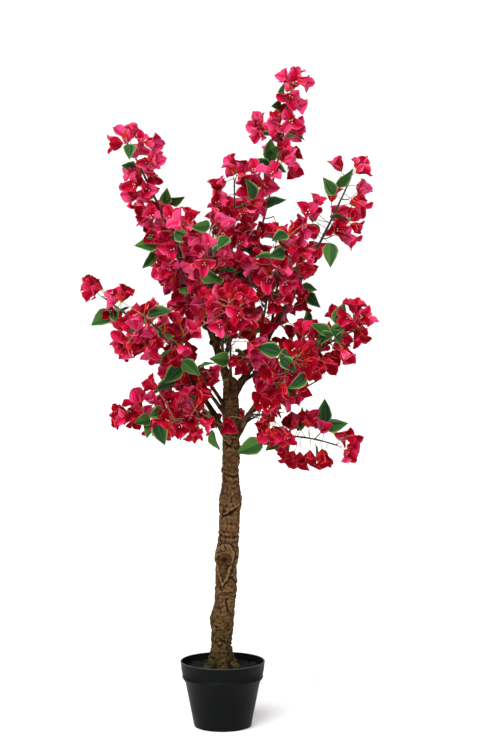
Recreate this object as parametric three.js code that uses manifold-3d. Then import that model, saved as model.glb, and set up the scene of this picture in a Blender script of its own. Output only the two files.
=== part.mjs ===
// A potted artificial bougainvillea tree: a plastic nursery pot filled with cement under dark gravel, a moulded
// trunk with a root flare, bark-covered limbs, and one mass of twigs, three-bract flowers and leaves on each limb.
// Millimetres, +Z up, +X to the right seen from the front, +Y to the back. The origin is the centre of the pot's
// flat underside.
import * as THREE from "three";
import { mergeVertices } from "three/addons/utils/BufferGeometryUtils.js";
import Module from "manifold-3d";

const wasm = await Module();
wasm.setup();

// ---------------------------------------------------------------------------------------------------------------
// Driving dimensions

const CLEARANCE = 0.3; // gap between solids that touch on the real tree

const POT = {
  height: 120,
  footRadius: 52.5,
  waistRadius: 66.5, // the body, just under the collar
  collarRadius: 73.5,
  rimRadius: 76.5,
  collarHeight: 27,
  wall: 2.4,
  floor: 3,
  footRound: 2,
  sides: 36,
};

const FILL = { top: 106, mound: 1.2, flatRadius: 40, sides: POT.sides };

const TRUNK = {
  foot: FILL.top + FILL.mound + CLEARANCE,
  top: 640,
  footRadius: 19.2,
  topRadius: 13.5,
  taperLate: 2.2, // how late in its height the trunk narrows
  domeShare: 0.6, // radius of the topmost ring over the radius there
  leanFrom: -2.5,
  leanTo: 15,
  leanEnds: 0.65, // share of the height where the lean has straightened
  sway: 4,
  flare: 13,
  flareFade: 15, // height over which the root flare dies away
  roots: 5,
  rootDepth: 0.32,
  sides: 14,
  rings: 22,
};

// Swellings and waists of the trunk: height, half height, and how far the surface moves out.
const SWELLINGS = [
  { height: 199, spread: 26, out: 2.0 },
  { height: 316, spread: 15, out: 2.2 },
  { height: 404, spread: 26, out: 2.0 },
  { height: 462, spread: 22, out: -2.0 },
  { height: 592, spread: 30, out: 1.3 },
];

// The shoots. A shoot's limb starts on another limb (at a share of that one's length) or on the trunk (at a height)
// with the radius root, leaves at the angle rise above the level, and arcs to a tip at azimuth, reach and height
// about the pot's axis. The first share, bare, is the bark-covered limb, and the rest is the stem of its mass. fan is
// the most flowers that a cluster of the mass carries, and turn is where round the stem its clusters start.
const SHOOTS = [
  {
    name: "left_leader", on: "trunk", at: 616, root: 8.5, bare: 0.4,
    azimuth: 183, reach: 166, height: 1054, rise: 72, fan: 3, turn: 0,
  },
  {
    name: "right_leader", on: "trunk", at: 600, root: 8, bare: 0.38,
    azimuth: 5, reach: 234, height: 1000, rise: 57, fan: 3, turn: 10,
  },
  {
    name: "left", on: "trunk", at: 512, root: 7.2, bare: 0.42,
    azimuth: 178, reach: 214, height: 782, rise: 66, fan: 3, turn: 320,
  },
  {
    name: "right", on: "trunk", at: 510, root: 7.8, bare: 0.45,
    azimuth: 355, reach: 238, height: 724, rise: 66, fan: 3, turn: 270,
  },
  {
    name: "top", on: "left_leader", at: 0.1, root: 4.6, bare: 0.26,
    azimuth: 13, reach: 127, height: 1144, rise: 72, fan: 3, turn: 220,
  },
  {
    name: "low_right", on: "trunk", at: 500, root: 4, bare: 0.3,
    azimuth: 358, reach: 206, height: 516, rise: 34, fan: 3, turn: 350,
  },
  {
    name: "low_left", on: "left", at: 0.13, root: 4, bare: 0.25,
    azimuth: 192, reach: 172, height: 568, rise: 12, fan: 3, turn: 240,
  },
  {
    name: "centre", on: "left_leader", at: 0.24, root: 3.6, bare: 0.25,
    azimuth: 310, reach: 34, height: 990, rise: 66, fan: 2, turn: 250,
  },
  {
    name: "centre_left", on: "left_leader", at: 0.36, root: 3, bare: 0.15,
    azimuth: 248, reach: 36, height: 940, rise: 62, fan: 2, turn: 80,
  },
  {
    name: "inner_left", on: "left_leader", at: 0.3, root: 3.4, bare: 0.2,
    azimuth: 212, reach: 104, height: 902, rise: 46, fan: 2, turn: 330,
  },
  {
    name: "inner_right", on: "right_leader", at: 0.3, root: 3.4, bare: 0.25,
    azimuth: 328, reach: 128, height: 880, rise: 62, fan: 2, turn: 40,
  },
  {
    name: "front_high", on: "left_leader", at: 0.06, root: 4.2, bare: 0.3,
    azimuth: 262, reach: 140, height: 890, rise: 55, fan: 2, turn: 50,
  },
  {
    name: "back_high", on: "left_leader", at: 0.16, root: 4.2, bare: 0.25,
    azimuth: 88, reach: 130, height: 960, rise: 62, fan: 2, turn: 120,
  },
  {
    name: "back_left_high", on: "left_leader", at: 0.22, root: 3.8, bare: 0.25,
    azimuth: 128, reach: 158, height: 880, rise: 48, fan: 2, turn: 190,
  },
  {
    name: "back_right_high", on: "right_leader", at: 0.2, root: 3.8, bare: 0.28,
    azimuth: 52, reach: 158, height: 870, rise: 58, fan: 2, turn: 260,
  },
  {
    name: "front", on: "trunk", at: 590, root: 5, bare: 0.36,
    azimuth: 275, reach: 182, height: 770, rise: 55, fan: 2, turn: 330,
  },
  {
    name: "back", on: "trunk", at: 578, root: 5.4, bare: 0.36,
    azimuth: 96, reach: 196, height: 788, rise: 55, fan: 2, turn: 40,
  },
  {
    name: "front_left", on: "trunk", at: 566, root: 5, bare: 0.38,
    azimuth: 222, reach: 176, height: 746, rise: 56, fan: 2, turn: 110,
  },
  {
    name: "front_right", on: "right", at: 0.12, root: 4.4, bare: 0.3,
    azimuth: 314, reach: 182, height: 676, rise: 50, fan: 2, turn: 180,
  },
  {
    name: "back_left", on: "trunk", at: 556, root: 5, bare: 0.38,
    azimuth: 140, reach: 194, height: 712, rise: 50, fan: 2, turn: 250,
  },
  {
    name: "back_right", on: "right_leader", at: 0.08, root: 4.4, bare: 0.3,
    azimuth: 36, reach: 196, height: 710, rise: 22, fan: 2, turn: 320,
  },
  {
    name: "mid_right", on: "right", at: 0.26, root: 3.8, bare: 0.2,
    azimuth: 8, reach: 176, height: 632, rise: 18, fan: 2, turn: 150,
  },
  {
    name: "low_front_left", on: "trunk", at: 534, root: 4, bare: 0.34,
    azimuth: 238, reach: 148, height: 566, rise: 40, fan: 2, turn: 100,
  },
  {
    name: "low_front_right", on: "trunk", at: 540, root: 4, bare: 0.34,
    azimuth: 304, reach: 150, height: 576, rise: 38, fan: 2, turn: 170,
  },
  {
    name: "low_back_left", on: "trunk", at: 520, root: 4, bare: 0.34,
    azimuth: 118, reach: 158, height: 590, rise: 42, fan: 2, turn: 240,
  },
  {
    name: "low_back_right", on: "trunk", at: 528, root: 4, bare: 0.34,
    azimuth: 48, reach: 162, height: 566, rise: 38, fan: 2, turn: 310,
  },
];

const ARC = 0.5; // how far along a shoot's chord its first direction is held
const LIMB_TIP_SHARE = 0.46; // limb tip radius over limb root radius, before the least radius
const STEM = { leastRadius: 2.4, tipRadius: 1.9, sides: 4, step: 46 };
const LIMB = { sides: 6, thinSides: 4, thinBelow: 4.5, step: 52 };

// The rule of growth: a cluster at every pitch along a stem, turned by the golden angle from the last one. A cluster
// is a twig with a fan of flowers on its end, and a leaf on the stem's other side.
const CLUSTER = { pitch: 38, turn: 137.5, lean: 62, leanSpread: 26, twig: 13, twigSpread: 11, twigRadius: 1.2 };
const FAN = { flowers: 3, tilt: 50, tiltSpread: 24, stalk: 14, stalkSpread: 7, tries: 5 };
const FLOWER = { bractLength: 27, opening: 52, stalkRadius: 1.1, depth: 2, cupCentre: 9, cupClear: 15 };
const LEAF = { petiole: 11, length: 43, width: 27, lean: 74, fold: 3, droop: 7, clear: 8, thickness: 1.3 };

const BLOOM = { flower: 1.3, leaf: 1.15 }; // over life size, because the solids hold fewer of them than the tree
const SEAT = 5; // pieces of one mass meet only this near to the root of the later one

// ---------------------------------------------------------------------------------------------------------------
// Small helpers

const vector = (x, y, z) => new THREE.Vector3(x, y, z);
const radians = THREE.MathUtils.degToRad;
const mix = (a, b, t) => a + (b - a) * t;

function smooth(t) {
  const s = Math.min(1, Math.max(0, t));
  return s * s * (3 - 2 * s);
}

// A repeatable number from 0 to 1 for any three whole numbers.
function chance(shoot, place, use) {
  const s = Math.sin(shoot * 12.9898 + place * 78.233 + use * 37.719) * 43758.5453;
  return s - Math.floor(s);
}

// Two directions at right angles to an axis and to each other.
function acrossAxis(axis) {
  const side = Math.abs(axis.z) < 0.9 ? vector(0, 0, 1) : vector(1, 0, 0);
  const u = vector(0, 0, 0).crossVectors(side, axis).normalize();
  return [u, vector(0, 0, 0).crossVectors(axis, u)];
}

// The axis leaned over by an angle, towards a turn about it.
function leaned(axis, lean, turn) {
  const [u, w] = acrossAxis(axis);
  return axis
    .clone()
    .multiplyScalar(Math.cos(lean))
    .addScaledVector(u, Math.sin(lean) * Math.cos(turn))
    .addScaledVector(w, Math.sin(lean) * Math.sin(turn));
}

const along = (from, direction, distance) => from.clone().addScaledVector(direction, distance);

// A solid from a closed geometry, with its shared vertices merged.
function solid(geometry) {
  const bare = geometry.clone();
  bare.deleteAttribute("normal");
  bare.deleteAttribute("uv");
  const merged = mergeVertices(bare, 1e-4);
  return new wasm.Manifold(
    new wasm.Mesh({
      numProp: 3,
      vertProperties: new Float32Array(merged.attributes.position.array),
      triVerts: new Uint32Array(merged.index.array),
    }),
  );
}

// The geometry of a solid.
function geometryOf(made) {
  const mesh = made.getMesh();
  return new THREE.BufferGeometry()
    .setAttribute("position", new THREE.BufferAttribute(new Float32Array(mesh.vertProperties), 3))
    .setIndex(new THREE.BufferAttribute(new Uint32Array(mesh.triVerts), 1));
}

// A closed geometry from points and triangles.
function closedGeometry(points, triangles) {
  return new THREE.BufferGeometry()
    .setAttribute("position", new THREE.BufferAttribute(new Float32Array(points.flatMap((p) => p.toArray())), 3))
    .setIndex(triangles.flat());
}

// Points with the direction of travel at each.
function stationsThrough(points) {
  const last = points.length - 1;
  return points.map((at, i) => {
    const axis = points[Math.min(i + 1, last)].clone().sub(points[Math.max(i - 1, 0)]).normalize();
    return { at, axis };
  });
}

// Frames carried along some stations without twisting.
function framesAlong(stations) {
  let u = acrossAxis(stations[0].axis)[0];
  return stations.map(({ at, axis }) => {
    u = u.clone().addScaledVector(axis, -u.dot(axis)).normalize();
    return { at, axis, u, w: vector(0, 0, 0).crossVectors(axis, u) };
  });
}

// A point off a frame's centre: a turn and a distance across its axis, and a rise along it.
const offFrame = ({ at, axis, u, w }, turn, radial, rise = 0) =>
  at
    .clone()
    .addScaledVector(u, radial * Math.cos(turn))
    .addScaledVector(w, radial * Math.sin(turn))
    .addScaledVector(axis, rise);

// A tapering rod through some stations: a three.js cylinder whose rings are moved onto them.
function rod(stations, radii, sides) {
  const last = stations.length - 1;
  const cylinder = new THREE.CylinderGeometry(1, 1, 1, sides, last);
  const position = cylinder.attributes.position;
  const frames = framesAlong(stations);
  for (let v = 0; v < position.count; v++) {
    const ring = Math.round((0.5 + position.getY(v)) * last);
    const turn = Math.atan2(-position.getZ(v), position.getX(v));
    const share = Math.hypot(position.getX(v), position.getZ(v));
    const at = offFrame(frames[ring], turn, share * radii[ring]);
    position.setXYZ(v, at.x, at.y, at.z);
  }
  return cylinder;
}

// ---------------------------------------------------------------------------------------------------------------
// Pot and fill

function potGeometry() {
  const { height, footRadius, waistRadius, collarRadius, rimRadius, collarHeight, wall, floor, footRound } = POT;
  const collarFoot = height - collarHeight;
  const profile = [
    [0, 0],
    [footRadius - footRound, 0],
    [footRadius, footRound],
    [waistRadius, collarFoot],
    [collarRadius, collarFoot],
    [rimRadius, height],
    [rimRadius - wall, height],
    [collarRadius - wall, collarFoot + wall],
    [waistRadius - wall, collarFoot],
    [footRadius - wall, floor],
    [0, floor],
  ];
  return turned(profile, POT.sides);
}

// The fill stands off the pot's wall, and its flat middle carries the trunk.
function fillGeometry() {
  const { footRadius, waistRadius, collarRadius, rimRadius, collarHeight, height, wall, floor } = POT;
  const collarFoot = height - collarHeight;
  const gap = wall + 2 * CLEARANCE;
  const share = (FILL.top - collarFoot) / collarHeight;
  const profile = [
    [0, floor + CLEARANCE],
    [footRadius - gap, floor + CLEARANCE],
    [waistRadius - gap, collarFoot],
    [collarRadius - gap - CLEARANCE, collarFoot + wall + 2 * CLEARANCE],
    [mix(collarRadius, rimRadius, share) - gap - CLEARANCE, FILL.top],
    [FILL.flatRadius, FILL.top + FILL.mound],
    [0, FILL.top + FILL.mound],
  ];
  return turned(profile, FILL.sides);
}

// A profile of radius and height turned about the pot's axis, with +Z up.
function turned(profile, sides) {
  const points = profile.map(([radius, height]) => new THREE.Vector2(radius, height));
  return new THREE.LatheGeometry(points, sides).rotateX(Math.PI / 2);
}

// ---------------------------------------------------------------------------------------------------------------
// Trunk

const trunkShare = (height) => (height - TRUNK.foot) / (TRUNK.top - TRUNK.foot);

function trunkAxis(height) {
  const share = trunkShare(height);
  const x = mix(TRUNK.leanFrom, TRUNK.leanTo, smooth(share / TRUNK.leanEnds));
  return vector(x, TRUNK.sway * Math.sin(Math.PI * share), height);
}

function trunkRadius(height, angle) {
  const taper = mix(TRUNK.footRadius, TRUNK.topRadius, smooth(trunkShare(height) ** TRUNK.taperLate));
  const swelling = SWELLINGS.reduce((sum, s) => sum + s.out * Math.exp(-(((height - s.height) / s.spread) ** 2)), 0);
  const lobes = 1 + TRUNK.rootDepth * Math.cos(TRUNK.roots * angle + 0.8);
  const flare = TRUNK.flare * Math.exp(-(height - TRUNK.foot) / TRUNK.flareFade) * lobes;
  return taper + swelling + flare;
}

// The rings of the trunk stand closer together in the root flare.
function trunkGeometry(extra = 0) {
  const cylinder = new THREE.CylinderGeometry(1, 1, 1, TRUNK.sides, TRUNK.rings).rotateX(Math.PI / 2);
  const position = cylinder.attributes.position;
  for (let v = 0; v < position.count; v++) {
    const level = position.getZ(v) + 0.5;
    const height = mix(TRUNK.foot, TRUNK.top, level ** 1.35);
    const angle = Math.atan2(position.getY(v), position.getX(v));
    const share = Math.hypot(position.getX(v), position.getY(v));
    const dome = level > 0.999 ? TRUNK.domeShare : 1;
    const radius = share * (dome * trunkRadius(height, angle) + extra);
    const centre = trunkAxis(height);
    const rise = level > 0.999 ? extra : 0;
    position.setXYZ(v, centre.x + radius * Math.cos(angle), centre.y + radius * Math.sin(angle), height + rise);
  }
  return cylinder;
}

// ---------------------------------------------------------------------------------------------------------------
// Shoots: the line of each limb and of the stem that goes on from it

function shootLine(shoot, placed) {
  const start = shoot.on === "trunk" ? trunkAxis(shoot.at) : placed.get(shoot.on).line.getPoint(shoot.at);
  const azimuth = radians(shoot.azimuth);
  const tip = vector(shoot.reach * Math.cos(azimuth), shoot.reach * Math.sin(azimuth), shoot.height);
  const chord = tip.clone().sub(start);
  const heading = Math.atan2(chord.y, chord.x);
  const rise = radians(shoot.rise);
  const first = vector(Math.cos(rise) * Math.cos(heading), Math.cos(rise) * Math.sin(heading), Math.sin(rise));
  return new THREE.QuadraticBezierCurve3(start, along(start, first, ARC * chord.length()), tip);
}

// Stations of a line from one share of it to another, about a step apart.
function stationsOf(line, from, to, step) {
  const length = line.getPoint(from).distanceTo(line.getPoint(to));
  const count = Math.max(2, Math.round(length / step));
  return Array.from({ length: count + 1 }, (_, i) => {
    const share = mix(from, to, i / count);
    return { at: line.getPoint(share), axis: line.getTangent(share) };
  });
}

function placeShoots() {
  const placed = new Map();
  SHOOTS.forEach((shoot, index) => {
    const line = shootLine(shoot, placed);
    const tipRadius = Math.max(STEM.leastRadius, shoot.root * LIMB_TIP_SHARE);
    placed.set(shoot.name, { ...shoot, index, line, tipRadius });
  });
  return placed;
}

function limbGeometry(shoot, extra = 0) {
  const stations = stationsOf(shoot.line, 0, shoot.bare, LIMB.step);
  const radii = stations.map((_, i) => mix(shoot.root, shoot.tipRadius, i / (stations.length - 1)) + extra);
  return rod(stations, radii, shoot.root < LIMB.thinBelow ? LIMB.thinSides : LIMB.sides);
}

// ---------------------------------------------------------------------------------------------------------------
// Growth: where twigs, flowers and leaves stand. Every piece claims a ball or two of space, and one whose place is
// taken is skipped.

const claimed = [];

const claim = (centre, radius, owner) => claimed.push({ centre, radius, owner });

const isFree = (centre, radius, owner) =>
  claimed.every((ball) => ball.owner === owner || ball.centre.distanceTo(centre) > ball.radius + radius);

function claimLimbs(placed) {
  for (let height = 470; height <= TRUNK.top; height += 12) claim(trunkAxis(height), TRUNK.footRadius, "trunk");
  for (const shoot of placed.values()) {
    const stations = stationsOf(shoot.line, 0, 1, 9);
    stations.forEach(({ at }, i) => {
      const share = i / (stations.length - 1);
      const radius = share < shoot.bare ? shoot.root : shoot.tipRadius;
      claim(at, radius + 1, `stem ${shoot.index}`);
    });
  }
}

// One cluster: a twig, the fan of flowers on its end, and a leaf on the stem's other side.
function growCluster(shoot, place, share, isTip) {
  const dice = (use) => chance(shoot.index, place, use);
  const owner = `stem ${shoot.index}`;
  const start = shoot.line.getPoint(share);
  const axis = shoot.line.getTangent(share);
  const turn = radians(CLUSTER.turn * place + shoot.turn) + 0.6 * dice(1);
  const lean = isTip ? 0.1 : radians(CLUSTER.lean + CLUSTER.leanSpread * (dice(2) - 0.5));
  const direction = leaned(axis, lean, turn);
  const length = isTip ? 8 : CLUSTER.twig + CLUSTER.twigSpread * dice(3);
  const twig = { start, end: along(start, direction, length), direction };
  const flowers = [];
  for (let k = 0; k < FAN.flowers; k++) {
    const flower = growFlower(twig, k, (use) => dice(10 + 20 * k + use), owner);
    if (flower) flowers.push(flower);
  }
  const leaf = isTip ? null : growLeaf(start, axis, turn + Math.PI, dice, owner);
  return { twig, flowers, leaf };
}

function growFlower(twig, k, dice, owner) {
  for (let attempt = 0; attempt < FAN.tries; attempt++) {
    const tilt = radians(FAN.tilt + FAN.tiltSpread * (dice(3 * attempt) - 0.5));
    const turn = (2 * Math.PI * (k + 0.5 * dice(3 * attempt + 1))) / FAN.flowers + attempt * 0.9;
    const direction = leaned(twig.direction, tilt, turn);
    const throat = along(twig.end, direction, FAN.stalk + FAN.stalkSpread * dice(3 * attempt + 2));
    const centre = along(throat, direction, FLOWER.cupCentre);
    if (isFree(centre, FLOWER.cupClear, null)) {
      claim(centre, FLOWER.cupClear, owner);
      return { throat, spin: turn * 2.3 };
    }
  }
  return null;
}

function growLeaf(start, axis, turn, dice, owner) {
  const direction = leaned(axis, radians(LEAF.lean), turn + 0.8 * (dice(4) - 0.5));
  const base = along(start, direction, LEAF.petiole);
  const centres = [0.35, 0.8].map((share) => along(base, direction, share * LEAF.length));
  if (!centres.every((centre) => isFree(centre, LEAF.clear, owner))) return null;
  centres.forEach((centre) => claim(centre, LEAF.clear, owner));
  return { root: start, base, direction, spin: dice(5) };
}

function growMass(shoot) {
  const stemLength = (1 - shoot.bare) * shoot.line.getLength();
  const count = Math.max(2, Math.round(stemLength / CLUSTER.pitch));
  const clusters = [];
  for (let place = count; place >= 1; place--) {
    const share = mix(shoot.bare, 1, place / count);
    clusters.push(growCluster(shoot, place, share, place === count));
  }
  return clusters;
}

// ---------------------------------------------------------------------------------------------------------------
// Solids of a mass

function stemSolid(shoot) {
  const { line, bare } = shoot;
  const start = line.getPoint(bare);
  const clear = (CLEARANCE * 0.01) / start.distanceTo(line.getPoint(bare + 0.01));
  const stations = stationsOf(line, bare + clear, 1, STEM.step);
  const radii = stations.map((_, i) => mix(shoot.tipRadius, STEM.tipRadius, i / (stations.length - 1)));
  return solid(rod(stations, radii, STEM.sides));
}

// A three-sided stalk along a path that opens into a cup of three pointed bracts. The cup's outline goes round by
// bract: notch, shoulder, tip, shoulder.
function flowerSolid(path, radii, spin) {
  const frames = framesAlong(stationsThrough(path));
  const cup = frames[frames.length - 1];
  const length = FLOWER.bractLength * BLOOM.flower;
  const opening = radians(FLOWER.opening);
  const outline = [];
  for (let bract = 0; bract < 3; bract++) {
    const middle = spin + (2 * Math.PI * bract) / 3;
    outline.push(offFrame(cup, middle - Math.PI / 3, 0.26 * length, 0.18 * length));
    outline.push(offFrame(cup, middle - radians(42), 0.62 * length, 0.4 * length));
    outline.push(offFrame(cup, middle, length * Math.sin(opening), length * Math.cos(opening)));
    outline.push(offFrame(cup, middle + radians(42), 0.62 * length, 0.4 * length));
  }
  const points = frames.flatMap((frame, i) =>
    [0, 1, 2].map((side) => offFrame(frame, spin + (2 * Math.PI * side) / 3, radii[i])),
  );
  const throat = points.length - 3;
  const rim = points.length;
  const heart = rim + outline.length;
  points.push(...outline, offFrame(cup, 0, 0, FLOWER.depth));
  const triangles = [[0, 2, 1]];
  for (let ring = 0; ring < throat; ring += 3) {
    for (let side = 0; side < 3; side++) {
      const next = ring + ((side + 1) % 3);
      triangles.push([ring + side, next, next + 3], [ring + side, next + 3, ring + side + 3]);
    }
  }
  for (let i = 0; i < outline.length; i++) {
    const at = rim + i;
    const next = rim + ((i + 1) % outline.length);
    const bract = Math.floor(i / 4);
    triangles.push([at, next, heart], [next, at, throat + bract]);
    if (i % 4 === 0) triangles.push([throat + ((bract + 2) % 3), throat + bract, at]);
  }
  return solid(closedGeometry(points, triangles));
}

// The first flower of a fan stands on the twig itself, which bends into its stalk.
function twigAndFlowerSolid({ start, end }, { throat, spin }) {
  return flowerSolid([start, end, throat], [1, CLUSTER.twigRadius * 1.5, FLOWER.stalkRadius], spin);
}

// Any other flower's stalk starts inside the twig's end.
function branchedFlowerSolid({ end }, { throat, spin }) {
  return flowerSolid([end, throat], [0.6, FLOWER.stalkRadius], spin);
}

// A petiole of three sides and a pointed blade, folded a little along its rib and drooping to its tip.
function leafSolid({ root, base, direction, spin }) {
  const [level, up] = acrossAxis(direction);
  const roll = radians(70) * (spin - 0.5);
  const side = level.clone().multiplyScalar(Math.cos(roll)).addScaledVector(up, Math.sin(roll));
  const face = vector(0, 0, 0).crossVectors(direction, side);
  const length = LEAF.length * BLOOM.leaf;
  const half = (LEAF.width * BLOOM.leaf) / 2;
  const at = (forward, out, rise) =>
    along(base, direction, forward).addScaledVector(side, out).addScaledVector(face, rise);
  const ring = (centre, radius) => [
    along(centre, face, radius),
    along(centre, side, radius * 0.9).addScaledVector(face, -radius * 0.6),
    along(centre, side, -radius * 0.9).addScaledVector(face, -radius * 0.6),
  ];
  const points = [
    ...ring(root, 1),
    ...ring(base, FLOWER.stalkRadius * 1.1),
    at(0.34 * length, half, LEAF.fold),
    at(0.34 * length, -half, LEAF.fold),
    at(0.4 * length, 0, LEAF.thickness / 2),
    at(0.4 * length, 0, -LEAF.thickness / 2),
    at(length, 0, -LEAF.droop),
  ];
  const [top, right, left, rightEdge, leftEdge, ridge, keel, tip] = [3, 4, 5, 6, 7, 8, 9, 10];
  const triangles = [
    [0, 1, 2],
    [0, right, 1], [0, top, right], [1, left, 2], [1, right, left], [2, top, 0], [2, left, top],
    [top, rightEdge, right], [top, ridge, rightEdge], [top, leftEdge, ridge], [top, left, leftEdge],
    [ridge, tip, rightEdge], [ridge, leftEdge, tip],
    [left, keel, leftEdge], [left, right, keel], [right, rightEdge, keel],
    [keel, rightEdge, tip], [keel, tip, leftEdge],
  ];
  return solid(closedGeometry(points, triangles));
}

// ---------------------------------------------------------------------------------------------------------------
// Assembly

const bark = new THREE.MeshStandardMaterial({ name: "bark", color: 0x6f5637, roughness: 0.9, metalness: 0 });
const blossom = new THREE.MeshStandardMaterial({ name: "blossom", color: 0xc2123c, roughness: 0.75, metalness: 0 });
const plastic = new THREE.MeshStandardMaterial({ name: "pot", color: 0x17191a, roughness: 0.55, metalness: 0 });
const gravel = new THREE.MeshStandardMaterial({ name: "gravel", color: 0x14130f, roughness: 1, metalness: 0 });

const tree = new THREE.Group();

function add(name, geometry, material) {
  const mesh = new THREE.Mesh(geometry, material);
  mesh.name = name;
  tree.add(mesh);
}

add("pot", potGeometry(), plastic);
add("fill", fillGeometry(), gravel);
add("trunk", trunkGeometry(), bark);

const shoots = placeShoots();

// Limbs: each starts inside what carries it and is cut clear of it, and of the limbs before it.
const woods = [{ name: "trunk", made: solid(trunkGeometry()), fat: solid(trunkGeometry(1.3 * CLEARANCE)) }];
for (const shoot of shoots.values()) {
  let made = solid(limbGeometry(shoot));
  for (const wood of woods) made = made.subtract(wood.fat);
  const pieces = made.decompose().sort((a, b) => b.volume() - a.volume());
  woods.push({ name: shoot.name, made: pieces[0], fat: solid(limbGeometry(shoot, 1.5 * CLEARANCE)) });
  add(`limb_${shoot.name}`, geometryOf(pieces[0]), bark);
}

// Masses: the stem, then each flower and leaf that stands clear of every limb and every other mass, and that meets
// its own mass at its root only.
const boxOf = (made) => {
  const { min, max } = made.boundingBox();
  return new THREE.Box3(vector(...min), vector(...max)).expandByScalar(CLEARANCE);
};

const pieces = woods.map((wood) => ({ owner: "wood", made: wood.made, box: boxOf(wood.made) }));

function meetsAtRoot(made, other, root) {
  const common = made.intersect(other);
  if (common.isEmpty()) return true;
  const { min, max } = boxOf(common);
  return min.distanceTo(root) < SEAT && max.distanceTo(root) < SEAT;
}

function keep(mass, made, root) {
  const owner = mass.shoot.name;
  const box = boxOf(made);
  const near = pieces.filter((piece) => piece.box.intersectsBox(box));
  const clear = near.every((piece) =>
    piece.owner === owner ? meetsAtRoot(made, piece.made, root) : piece.made.minGap(made, 1) > CLEARANCE,
  );
  if (clear) {
    mass.kept.push(made);
    pieces.push({ owner, made, box });
  }
  return clear;
}

claimLimbs(shoots);
const masses = [...shoots.values()].map((shoot) => ({ shoot, kept: [stemSolid(shoot)] }));
for (const { shoot, kept } of masses) pieces.push({ owner: shoot.name, made: kept[0], box: boxOf(kept[0]) });
for (const mass of masses) {
  for (const { twig, flowers, leaf } of growMass(mass.shoot)) {
    let seated = false;
    let count = 0;
    for (const flower of flowers) {
      if (count === mass.shoot.fan) break;
      const made = seated ? branchedFlowerSolid(twig, flower) : twigAndFlowerSolid(twig, flower);
      if (keep(mass, made, seated ? twig.end : twig.start)) {
        seated = true;
        count += 1;
      }
    }
    if (leaf) keep(mass, leafSolid(leaf), leaf.root);
  }
  add(`mass_${mass.shoot.name}`, geometryOf(wasm.Manifold.union(mass.kept)), blossom);
}

export default tree;
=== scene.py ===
"""An artificial bougainvillea tree: bark, twigs, flowers, leaves, nursery pot and gravel around the solids.

Growth is worked out in millimetres by the rule of the solids, and every mesh is made in metres.
"""

import math

import bpy
import numpy as np
from bpy.props import FloatProperty, FloatVectorProperty, IntProperty, PointerProperty
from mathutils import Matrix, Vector


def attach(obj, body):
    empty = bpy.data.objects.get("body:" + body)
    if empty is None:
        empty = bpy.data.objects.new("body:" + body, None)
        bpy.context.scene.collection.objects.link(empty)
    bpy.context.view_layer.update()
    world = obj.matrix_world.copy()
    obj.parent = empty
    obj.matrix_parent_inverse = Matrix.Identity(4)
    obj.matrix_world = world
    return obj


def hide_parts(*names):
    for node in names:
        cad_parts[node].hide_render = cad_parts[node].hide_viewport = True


bl_info = {
    "name": "Potted Bougainvillea Tree",
    "version": (1, 0, 0),
    "blender": (4, 5, 0),
    "location": "View3D > Sidebar > Bougainvillea",
    "description": "Builds an artificial bougainvillea tree in a nursery pot",
    "category": "Add Mesh",
}

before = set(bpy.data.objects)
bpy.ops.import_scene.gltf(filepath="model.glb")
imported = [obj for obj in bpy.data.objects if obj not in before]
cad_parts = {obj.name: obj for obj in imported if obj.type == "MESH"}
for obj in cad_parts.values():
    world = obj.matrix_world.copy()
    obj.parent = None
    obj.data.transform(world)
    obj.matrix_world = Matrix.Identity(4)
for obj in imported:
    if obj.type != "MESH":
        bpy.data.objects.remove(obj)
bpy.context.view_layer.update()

MM = 0.001
TAU = 2.0 * math.pi

# ----------------------------------------------------------------------------------------------------------
# Driving dimensions in millimetres, the same as the solids'

POT_HEIGHT = 120.0
POT_FOOT_RADIUS = 52.5
POT_WAIST_RADIUS = 68.2
POT_COLLAR_RADIUS = 74.2
POT_RIM_RADIUS = 77.3
POT_COLLAR_HEIGHT = 30.0
POT_COLLAR_SLOPE = 8.5
POT_WALL = 2.4
POT_FLOOR = 3.0

FILL_TOP = 106.0
FILL_MOUND = 1.2
CLEARANCE = 0.3

STONE_SEED = 11
STONE_LEAST = 1.3
STONE_SPREAD = 2.2
STONE_PILE = 1.4
STONE_SHADES = (0.7, 1.2, 2.2)

TRUNK_FOOT = FILL_TOP + FILL_MOUND + CLEARANCE
TRUNK_TOP = 640.0
TRUNK_FOOT_RADIUS = 19.2
TRUNK_TOP_RADIUS = 13.5
TRUNK_TAPER_LATE = 2.2
TRUNK_LEAN_FROM = -2.5
TRUNK_LEAN_TO = 15.0
TRUNK_LEAN_ENDS = 0.65
TRUNK_SWAY = 4.0
FLARE = 13.0
FLARE_FADE = 15.0
ROOTS = 5
ROOT_DEPTH = 0.32

TRUNK_SIDES = 144
TRUNK_RINGS = 620
TRUNK_GIRTH = 19.0
TRUNK_LUMPS = 2.6
TRUNK_WARP = 2.2
TRUNK_PEBBLES = 2.0
TRUNK_BANDS = 1.2
ROOT_RELIEF = 4.4
ROOT_PHASE = 0.8

# Swellings and waists of the trunk: height, half height, and how far the surface moves out.
SWELLINGS = ((199, 26, 2.0), (316, 15, 2.2), (404, 26, 2.0), (462, 22, -2.0), (592, 30, 1.3))

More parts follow.
